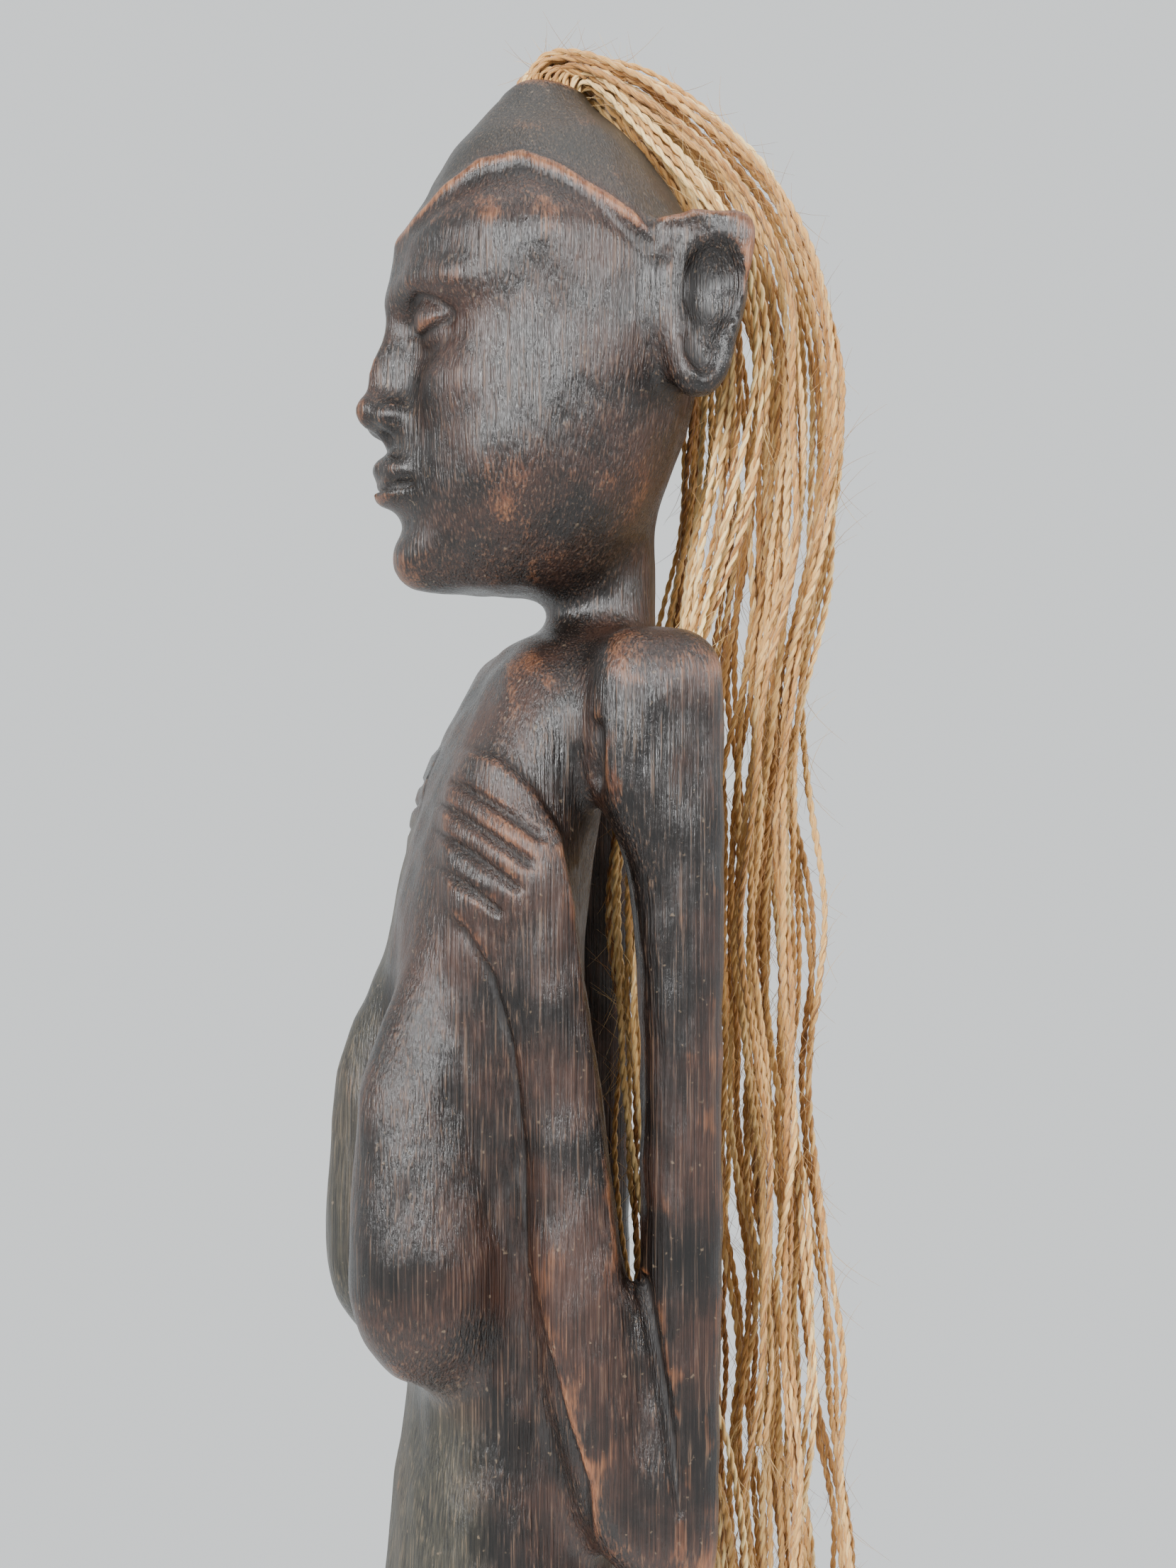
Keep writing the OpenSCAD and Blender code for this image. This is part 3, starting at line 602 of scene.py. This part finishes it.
def inside_by(u, v, outline):
    """How far each (u, v) is inside a closed outline, in millimetres, and negative outside it."""
    within = np.zeros(len(u), bool)
    for (au, av), (bu, bv) in zip(outline, outline[1:] + outline[:1]):
        crosses = (av > v) != (bv > v)
        within ^= crosses & (u < (bu - au) * (v - av) / (bv - av if bv != av else 1e-9) + au)
    return np.where(within, 1, -1) * to_line(u, v, outline + outline[:1])


def ease(value, low, high):
    t = np.clip((value - low) / (high - low), 0, 1)
    return t * t * (3 - 2 * t)


def dip(distance, width):
    return np.exp(-((distance / width) ** 2))


def hair_edge(x, y):
    """The angle round the head from the brow, in degrees, and the height of the hair's edge, in millimetres."""
    angle = np.degrees(np.arctan2(abs(x), -(y - HEAD_Y / MM)))
    arch = np.interp(angle, [0, 15, 30, 45, 65, 82, 98, 112], [2, 5, 13, 20, 22, 16, 6, -4])
    return angle, BRIM / MM + arch


# The roughed-out figure, with its edges rounded over and its size kept by a slight swelling.
figure = bpy.data.objects.new("figure_wood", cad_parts["carved_figure"].data.copy())
bpy.context.scene.collection.objects.link(figure)
figure.data.materials.clear()
only(figure)
bpy.ops.object.mode_set(mode="EDIT")
bpy.ops.mesh.select_all(action="SELECT")
bpy.ops.mesh.remove_doubles(threshold=1e-6)
bpy.ops.object.mode_set(mode="OBJECT")
apply_modifier(figure, "REMESH", mode="VOXEL", voxel_size=ROUGH_VOXEL)
points = softened(figure, points_of(figure), LOG_SMOOTHING)
swell = LOG_SWELL * normals_of(figure)
move_points(figure, points + swell)

# The large forms are worked into the log as smooth swellings and hollows: each has its place, its three half
# widths and its height in millimetres, and is mirrored across the middle.
face, chest = JAW / MM, SHOULDER / MM
points, normals = points_of(figure), normals_of(figure)
for at, size, height in (
    ((0, -34, face + 104), (36, 26, 15), 3.0),  # forehead
    ((0, -36, face + 95), (17, 16, 6), 2.6),  # between the brows
    ((20, -34, face + 97), (15, 16, 5.5), 4.2),  # brows
    ((36, -24, face + 96), (10, 14, 6), 2.8),
    ((20, -36, face + 84), (10.5, 14, 8.5), -7.0),  # sockets
    ((0, -36, face + 78), (5.5, 14, 19), 7.5),  # bridge of the nose
    ((29, -28, face + 64), (14, 18, 11), 4.6),  # cheekbones
    ((36, -16, face + 40), (13, 18, 18), 2.4),  # cheeks
    ((0, -36, face + 38), (22, 18, 17), 5.6),  # muzzle
    ((0, -33, face + 22), (13, 14, 4.5), -2.2),  # under the lip
    ((0, -31, face + 10), (15, 14, 9.5), 5.4),  # chin
    ((50, -4, face + 84), (8, 16, 20), -2.0),  # temples
    ((26, -6, chest - 12), (20, 12, 5), 1.8),  # collar bones
    ((0, -16, chest - 16), (7, 12, 8), -0.9),
    ((23, 24, chest - 52), (13, 14, 30), 3.2),  # shoulder blades
    ((0, 24, chest - 120), (5, 14, 110), -2.6),  # spine
    ((0, -42, chest - 345), (30, 20, 34), 2.4),  # belly
    ((21, 44, chest - 388), (17, 16, 24), 5.0),  # buttocks
    ((0, 46, chest - 396), (4, 18, 26), -5.0),
    ((28, -24, 172), (10, 14, 13), 4.0),  # knees
    ((28, 30, 118), (11, 14, 26), 3.0),  # calves
):
    across = np.stack([abs(points[:, 0]), points[:, 1], points[:, 2]], axis=1) / MM
    gap = ((across - at) / np.array(size, float)) ** 2
    points = points + (height * MM * np.exp(-gap.sum(1)))[:, None] * normals
points = softened(figure, points, 4)
move_points(figure, points)

# The small forms are crisper: nose, lips, closed lids, navel and ankle bones.
forms = []
forms += lump(19.5, -30.5, JAW + 84.5 * MM, (10.5, 8, 7.4), tilt=(0, 0, 14), both=True)
forms += lump(0, -43.5, JAW + 70 * MM, (5.0, 6.5, 15), tilt=(-12, 0, 0))
forms += lump(0, -47, JAW + 59 * MM, (7.6, 7.6, 7.0))
forms += lump(8.4, -43, JAW + 56 * MM, (5.2, 7, 5.4), both=True)
forms += lump(4.5, -43, JAW + 39.4 * MM, (11, 5.2, 4.2), tilt=(0, 6, 14), both=True)
forms += lump(0, -43, JAW + 31.6 * MM, (12.0, 5.4, 4.4))
forms += lump(0, -44, SHOULDER - 345 * MM, (6, 5, 6.5))
forms += lump(41, 6, 62 * MM, (4, 6, 6), both=True)

# Each ear is a plate cut to its outline (depth, height), thick enough to take the bowl.
EAR_OUTLINE = [
    (30, -3), (38, -1), (48, 0), (59, -0.5), (63, -4), (63, -14), (60.5, -26), (56.5, -38), (51, -51),
    (46.5, -56), (41, -52), (36, -42), (32, -26),
]
for hand_side in (1, -1):
    outline = smooth_line(np.array([(0, y, z) for y, z in EAR_OUTLINE + EAR_OUTLINE[:1]], float), 3.0)[:-1]
    n = len(outline)
    inner, outer = outline.copy(), outline.copy()
    inner[:, 0] = 40 * hand_side
    outer[:, 0] = np.interp(outline[:, 1], [30, 34, 40, 64], [50, 54.5, 60, 63.5])
    outer[:, 0] = hand_side * (outer[:, 0] - 13.0 * ease(-outline[:, 2], 34, 58))
    plate = bpy.data.meshes.new("ear_plate")
    around = [(k, (k + 1) % n, n + (k + 1) % n, n + k) for k in range(n)]
    plate.from_pydata(
        [(a * MM, b * MM, BRIM + (c + 4) * MM) for a, b, c in np.vstack([inner, outer])],
        [],
        around + [tuple(range(n))[::-1], tuple(range(n, 2 * n))],
    )
    ear = bpy.data.objects.new("ear_plate", plate)
    bpy.context.scene.collection.objects.link(ear)
    only(ear)
    bpy.ops.object.mode_set(mode="EDIT")
    bpy.ops.mesh.select_all(action="SELECT")
    bpy.ops.mesh.normals_make_consistent(inside=False)
    bpy.ops.object.mode_set(mode="OBJECT")
    forms.append(ear)
join(forms, figure)
apply_modifier(figure, "REMESH", mode="VOXEL", voxel_size=FINE_VOXEL)
move_points(figure, softened(figure, points_of(figure), 4))

# The bowls of the ears are gouged out, thin-rimmed at the back and closing towards the lobe.
cutters = []
for x, y, drop, size, tilt in (
    (67.5, 52.0, 17, (17.5, 10.0, 14.5), (8, 0, 22)),
    (67.0, 51.2, 24, (17.0, 9.6, 15.0), (9, 0, 21)),
    (66.5, 49.6, 31, (14.5, 8.2, 14.0), (11, 0, 18)),
    (65.5, 47.3, 39, (13.0, 6.3, 12.0), (14, 0, 14)),
):
    cutters += lump(x, y, BRIM - drop * MM, size, tilt=tilt, both=True)
cutter = cutters.pop()
join(cutters, cutter)
apply_modifier(cutter, "REMESH", mode="VOXEL", voxel_size=CUTTER_VOXEL)
apply_modifier(figure, "BOOLEAN", operation="DIFFERENCE", solver="MANIFOLD", object=cutter)
bpy.data.objects.remove(cutter)
apply_modifier(figure, "REMESH", mode="VOXEL", voxel_size=FINE_VOXEL)
points = softened(figure, points_of(figure), 2)
z_hand = points[:, 2] / MM - SHOULDER / MM
on_breast = ease(-points[:, 1] / MM, 20, 30) * ease(-z_hand, 92, 112) * (1 - ease(-z_hand, 268, 284))
points += on_breast[:, None] * (softened(figure, points, BREAST_SMOOTHING) - points)
move_points(figure, points)

# Relief: what the knife raised or cut after the forms were done. Depths and widths are in millimetres.
points, normals = points_of(figure), normals_of(figure)
x, y, z = (points / MM).T
side = abs(x)
relief = np.zeros(len(points))

# The hair's edge is a rolled ridge that arches over each temple from the forehead to the ear.
round_head, ridge_z = hair_edge(x, y)
on_ridge = (z > BRIM / MM - 25) * (1 - ease(round_head, 104, 122))
above = z - ridge_z
on_ridge = on_ridge * (0.35 + 0.65 * ease(round_head, 8, 40))
relief += on_ridge * (1.5 * dip(above, 2.4) - 0.8 * dip(above + 5.5, 3.4) + 1.0 * ease(above, -2, 2))

# Closed lids, the crease over them, and the line of the mouth.
z_face = z - JAW / MM
in_front = (y < -18) & (z_face > 0) & (z_face < 110)
lid_line = to_line(side, z_face, [(9, 83.5), (14, 80.5), (20, 79.4), (26, 80.8), (31.5, 84)])
lid_crease = to_line(side, z_face, [(8.5, 86), (13.5, 91), (20, 93), (26.5, 91.2), (32.5, 86)])
mouth_line = to_line(x, z_face, [(-15, 33.6), (-8, 32.4), (0, 33.4), (8, 32.4), (15, 33.6)])
relief -= in_front * (1.7 * dip(lid_line, 1.1) + 1.1 * dip(lid_crease, 1.2) + 2.2 * dip(mouth_line, 1.2))
nostril = np.hypot(side - 4.6, (z_face - 49.5) / 0.8)
relief -= in_front * (y < -38) * 1.6 * dip(nostril, 2.2)

# Hands lie in low relief on the chest, with four slanting cuts between the fingers.
z_hand = z - SHOULDER / MM
facing_out = ease(np.sign(x) * normals[:, 0] - 0.35 * normals[:, 1], 0.30, 0.75) * (1 - ease(-y, 27, 34))
on_chest = facing_out * (side > 14) * (y < 46) * (z_hand > -330) * (z_hand < -25)
arm_outline = [
    (-24, -38), (-14, -42.5), (-5, -52), (2.5, -66), (7, -88), (11.6, -112), (23.2, -174), (29.7, -224),
    (38.7, -274), (43, -316), (17, -312), (11.6, -289), (9.1, -266), (3.1, -247), (-2.6, -224),
    (-7.2, -199), (-8.2, -162), (-11.6, -132), (-17.5, -110), (-26, -95), (-35.5, -83), (-35, -70),
    (-33, -57), (-29, -45),
]
rise = 3.0 - 1.2 * ease(-z_hand, 110, 150)
relief += on_chest * rise * ease(inside_by(y, z_hand, arm_outline), -1.8, 2.2) * (1 - ease(-z_hand, 250, 310))
near_edge = to_line(y, z_hand, arm_outline[11:20])
relief -= on_chest * 2.8 * dip(near_edge + 1.2, 1.8) * (1 - ease(-z_hand, 262, 300))
finger_cut = np.zeros(len(points))
for start, end in (
    ((-25, -50), (-5, -67)), ((-32, -54), (-8, -75)), ((-34, -63), (-11, -82)), ((-35.5, -73), (-16, -89)),
):
    cut = to_line(y, z_hand, [start, end])
    relief -= on_chest * 2.3 * dip(cut, 1.15)
    finger_cut = np.maximum(finger_cut, dip(cut, 0.9))

# Toes, and drying cracks that follow the grain.
on_foot = (z < 68) * (y < -34) * (z > 46)
for toe in (-9.0, -3.6, 1.6, 6.6):
    relief -= on_foot * 1.9 * dip(side - 30 - toe, 1.1) * ease(-y, 36, 41)
wave = 0.8 * np.sin(z * 0.21) + 0.5 * np.sin(z * 0.57 + 1)
elbow_crease = to_line(y, z_hand, [(27.5, -206), (30.5, -228), (34, -252), (37, -276)])


def shoulder_crack(depth, width):
    at = (x > 50) & (y > 5) & (y < 22)
    line = dip(y - 13.0 + 0.05 * (z_hand + 40), width)
    return at * depth * line * ease(z_hand, -58, -50) * (1 - ease(z_hand, -34, -28))


def elbow_cut(depth, width):
    return (side > 46) * depth * dip(elbow_crease, width) * (1 - ease(-z_hand, 255, 290))


def back_crack(depth, width):
    at = (y > 10) & (side < 30)
    line = dip(x - 6 - wave, width)
    return at * depth * line * ease(z_hand, -300, -270) * (1 - ease(z_hand, -160, -120))


def base_crack(depth, width):
    return ((z < 46) & (y < 0)) * depth * dip(x + 22 - wave, width) * ease(z, 4, 10)


relief -= shoulder_crack(2.6, 0.9)
relief -= elbow_cut(3.2, 1.7)
relief -= back_crack(2.2, 0.9)
relief -= base_crack(2.4, 1.0)
crack_belly = (y < -25) & (z < 380)
relief -= crack_belly * 1.5 * dip(x - 15 + wave, 0.9) * ease(z, 285, 300) * (1 - ease(z, 352, 372))

# The slow unevenness of a hand-carved surface.
uneven = 0.22 * np.sin(x * 0.31 + 2 * np.sin(z * 0.045)) * np.sin(z * 0.11 + y * 0.23)
uneven += 0.16 * np.sin(y * 0.42 + 1.5 * np.sin(z * 0.06 + x * 0.1)) * np.sin(z * 0.19)
relief += uneven

# Cuts and cracks are too narrow to wear, so their places are kept for the wood's finish, which colours them
# darker as painted shade in the creases.
cuts = np.maximum.reduce(
    [
        in_front * np.maximum(dip(lid_line, 1.0), dip(mouth_line, 1.1)),
        on_chest * finger_cut,
        shoulder_crack(1.0, 1.0),
        back_crack(1.0, 0.8),
        base_crack(1.0, 0.9),
        elbow_cut(0.8, 1.8),
        on_chest * 0.8 * dip(near_edge + 1.0, 1.5) * (1 - ease(-z_hand, 262, 300)),
    ]
)
layer = figure.data.attributes.new("cut", "FLOAT", "POINT")
layer.data.foreach_set("value", cuts.astype(np.float32))
points = points + relief[:, None] * MM * normals
points[:, 2] = np.where(points[:, 2] < 0.9 * MM, 0.0, points[:, 2])
move_points(figure, points)

# Adze and knife facets, and then a mesh no finer than the marks need.
marks = bpy.data.textures.new("adze_marks", "VORONOI")
marks.noise_scale = ADZE_MARK
apply_modifier(figure, "DISPLACE", texture=marks, texture_coords="LOCAL", strength=ADZE_DEPTH, mid_level=0.45)
count = sum(len(face.vertices) - 2 for face in figure.data.polygons)
apply_modifier(figure, "DECIMATE", ratio=min(1.0, FIGURE_TRIANGLES / count))

# Where the wood stands proud it is worn; where it is hollow it holds dust and is coloured darker as painted
# shade; and some of it has gone grey.
points, normals = points_of(figure), normals_of(figure)
x, y, z = (points / MM).T
near_form = ((points - softened(figure, points, NEAR_FORM_SMOOTHING)) * normals).sum(1) / MM
broad_form = ((points - softened(figure, points, BROAD_FORM_SMOOTHING)) * normals).sum(1) / MM
z_hand = z - SHOULDER / MM
cuts = np.empty(len(points), np.float32)
figure.data.attributes["cut"].data.foreach_get("value", cuts)
worn = np.clip(0.50 * near_form / 0.30 + 0.35 * broad_form / 2.2 - 0.10, 0, 1)
# Painted shade: the hollows of the carving are marked to be coloured darker, and rougher for their dust.
shade_and_dust = np.clip(-0.55 * near_form / 0.30 - 0.32 * broad_form / 2.4 - 0.05, 0, 1)
round_head, ridge_z = hair_edge(x, y)
on_ridge = 0.95 * dip(z - ridge_z - 0.5, 2.6) * (1 - ease(round_head, 104, 118)) * (z > BRIM / MM - 20)
worn = np.maximum(worn, on_ridge)
# Painted shade: wear is held back on the hands and forearms, so they stay darker.
shaded_arms = ease(-z_hand, 28, 40) * (1 - ease(-z_hand, 225, 250)) * (y < 14) * (abs(x) > 16)
on_face = (y < -20) * ease(z, JAW / MM + 10, JAW / MM + 22) * (1 - ease(z, BRIM / MM - 14, BRIM / MM - 4))
on_lobe = (abs(x) > 40) * ease(y, 26, 32) * ease(BRIM / MM - z, 14, 30) * (z > JAW / MM + 40)
worn *= (1 - 0.45 * shaded_arms) * (1 - 0.35 * on_face) * (1 - 0.75 * on_lobe)
grey = 0.42 * ease(z - ridge_z, 2, 9)
grey = np.maximum(grey, 0.85 * ease(-y, 14, 30) * (1 - ease(z_hand, -262, -232)) * ease(z, 215, 260))
grey = np.maximum(grey, 0.75 * ease(-x, 4, 16) * ease(-y, 22, 36) * (z_hand < -60) * (z > 300))
grey = np.maximum(grey, 0.35 * (1 - ease(z, 45, 120)))
# Painted shade in the cuts and creases; the cap above the hair's edge takes the same dark colour for its darker
# wood.
shade_and_dust = np.maximum(shade_and_dust, np.maximum(cuts, 0.65 * ease(z - ridge_z, 2, 9)))
worn *= 1 - cuts
for name, value in (("worn", worn), ("shade_and_dust", shade_and_dust), ("grey", grey)):
    layer = figure.data.attributes.new(name, "FLOAT", "POINT")
    layer.data.foreach_set("value", value.astype(np.float32))
figure.data.polygons.foreach_set("use_smooth", np.ones(len(figure.data.polygons), bool))

# Oiled dark hardwood with the grain upright.
wood = Finish("oiled_dark_wood")
place_in_log = wood.add("TexCoord").outputs["Object"]
fine_grain = wood.noise(place_in_log, 1.0, 4.0, 0.62, stretch=(1300.0, 1300.0, 19.0))
long_grain = wood.noise(place_in_log, 1.0, 3.0, 0.60, stretch=(330.0, 330.0, 6.0))
pore_grain = wood.noise(place_in_log, 1.0, 2.0, 0.5, stretch=(1500.0, 1500.0, 26.0))
pores = wood.ramp(pore_grain, [(0.37, (1.0,)), (0.45, (0.0,))])
blotch = wood.noise(place_in_log, 26.0, 4.0, 0.6)
speck = wood.noise(place_in_log, 420.0, 2.0, 0.5)
worn_at = wood.add("Attribute", attribute_name="worn").outputs["Fac"]
shade_and_dust_at = wood.add("Attribute", attribute_name="shade_and_dust").outputs["Fac"]
grey_at = wood.add("Attribute", attribute_name="grey").outputs["Fac"]
heart = wood.ramp(
    wood.math("ADD", wood.math("MULTIPLY", fine_grain, 0.55), wood.math("MULTIPLY", blotch, 0.45)),
    [
        (0.38, srgb(0.030, 0.021, 0.018)),
        (0.50, srgb(0.092, 0.058, 0.043)),
        (0.61, srgb(0.240, 0.142, 0.095)),
    ],
)
old_oil = wood.ramp(blotch, [(0.44, (0.0,)), (0.62, (1.0,))])
body = wood.mix(wood.math("MULTIPLY", old_oil, 0.55), heart, srgb(0.190, 0.105, 0.070))
green_grey = wood.ramp(fine_grain, [(0.36, srgb(0.105, 0.100, 0.079)), (0.64, srgb(0.300, 0.287, 0.228))])
grey_mask = wood.math("MULTIPLY", grey_at, wood.ramp(blotch, [(0.30, (0.55,)), (0.52, (1.0,))]), clamp=True)
body = wood.mix(wood.math("MULTIPLY", grey_mask, 0.82), body, green_grey)
through = wood.math("ADD", wood.math("MULTIPLY", worn_at, 0.72), wood.math("MULTIPLY", fine_grain, 0.62))
through = wood.math("ADD", through, wood.math("MULTIPLY", wood.math("SUBTRACT", blotch, 0.5), 0.85))
through = wood.ramp(through, [(0.66, (0.0,)), (1.10, (1.0,))])
tan = wood.ramp(long_grain, [(0.35, srgb(0.42, 0.24, 0.145)), (0.65, srgb(0.62, 0.41, 0.26))])
body = wood.mix(wood.math("MULTIPLY", through, 0.68), body, tan)
body = wood.mix(wood.math("MULTIPLY", pores, 0.50), body, srgb(0.045, 0.034, 0.030))
# Painted shade: hollows and cuts are mixed towards near-black.
body = wood.mix(wood.math("MULTIPLY", shade_and_dust_at, 0.70), body, srgb(0.060, 0.045, 0.040))
scratched = wood.math("MULTIPLY", wood.ramp(fine_grain, [(0.575, (0.0,)), (0.66, (1.0,))]), 0.24)
body = wood.mix(scratched, body, srgb(0.46, 0.38, 0.30))
dust = wood.ramp(speck, [(0.69, (0.0,)), (0.77, (1.0,))])
body = wood.mix(wood.math("MULTIPLY", dust, 0.40), body, srgb(0.50, 0.43, 0.35))
shine = wood.ramp(
    wood.math("ADD", wood.math("MULTIPLY", fine_grain, 0.5), wood.math("MULTIPLY", blotch, 0.5)),
    [(0.38, (0.17,)), (0.62, (0.40,))],
)
dull = wood.math("MAXIMUM", wood.math("MULTIPLY", grey_mask, 0.62), wood.math("MULTIPLY", shade_and_dust_at, 0.6))
roughness = wood.math("MAXIMUM", shine, dull)
grain_bump = wood.bump(long_grain, 0.0010, 0.5)
grain_bump = wood.bump(fine_grain, 0.0007, 0.75, under=grain_bump)
grain_bump = wood.bump(pore_grain, 0.0004, 0.6, under=grain_bump)
grain_bump = wood.bump(speck, 0.00018, 0.4, under=grain_bump)
wood.to_shader(Base_Color=body, Roughness=roughness, Normal=grain_bump)
wood.shader.inputs["Specular IOR Level"].default_value = 0.52
figure.data.materials.clear()
figure.data.materials.append(wood.material)
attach(figure, "root")
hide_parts("carved_figure")

# ---- Hair plug ----------------------------------------------------------------------------------------------
# The turned peg that wedges the twine in the crown hole. It is hidden in use, and keeps its CAD shape with
# a plain pale wood finish.

peg = Finish("peg_pale_wood")
peg_place = peg.add("TexCoord").outputs["Object"]
peg_grain = peg.noise(peg_place, 1.0, 3.0, 0.6, stretch=(900.0, 900.0, 30.0))
peg.to_shader(
    Base_Color=peg.ramp(peg_grain, [(0.35, srgb(0.42, 0.30, 0.20)), (0.65, srgb(0.60, 0.46, 0.32))]),
    Roughness=peg.ramp(peg_grain, [(0.3, (0.75,)), (0.7, (0.6,))]),
    Normal=peg.bump(peg_grain, 0.0004, 0.6),
)
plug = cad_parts["hair_plug"]
plug.data.materials.clear()
plug.data.materials.append(peg.material)

# ---- Stage --------------------------------------------------------------------------------------------------
# A plain pale floor in a pale room. A tall window stands to the left of the camera and a weaker one to its
# right, with a soft light overhead.

FLOOR_R = 0.9
bpy.ops.mesh.primitive_circle_add(vertices=96, radius=FLOOR_R, fill_type="NGON", location=(0, 0, 0))
floor = bpy.context.object
floor.name = "floor"
paint = Finish("pale_floor")
grit = paint.noise(paint.add("TexCoord").outputs["Object"], 60.0, 4.0, 0.6)
paint.to_shader(
    Base_Color=paint.ramp(grit, [(0.3, srgb(0.82, 0.83, 0.83)), (0.7, srgb(0.87, 0.88, 0.88))]),
    Roughness=0.8,
    Normal=paint.bump(grit, 0.0005, 0.2),
)
floor.data.materials.append(paint.material)

room = bpy.data.worlds.new("pale_room")
room.use_nodes = True
room.node_tree.nodes["Background"].inputs["Color"].default_value = srgb(0.845, 0.86, 0.865)
room.node_tree.nodes["Background"].inputs["Strength"].default_value = 1.46
bpy.context.scene.world = room

for name, at, aim, width, height, power in (
    ("window", (2.05, -1.55, 1.35), (0, 0, 0.62), 0.55, 1.5, 160),
    ("second_window", (1.1, 1.9, 1.30), (0, 0.03, 0.60), 0.8, 0.8, 34),
    ("ceiling", (0.3, 0.2, 2.40), (0, 0, 0.7), 1.4, 1.4, 18),
):
    bpy.ops.object.light_add(type="AREA", location=at)
    light = bpy.context.object
    light.name = name
    light.data.shape = "RECTANGLE"
    light.data.size, light.data.size_y = width, height
    light.data.energy = power
    light.rotation_euler = (Vector(aim) - Vector(at)).to_track_quat("-Z", "Y").to_euler()
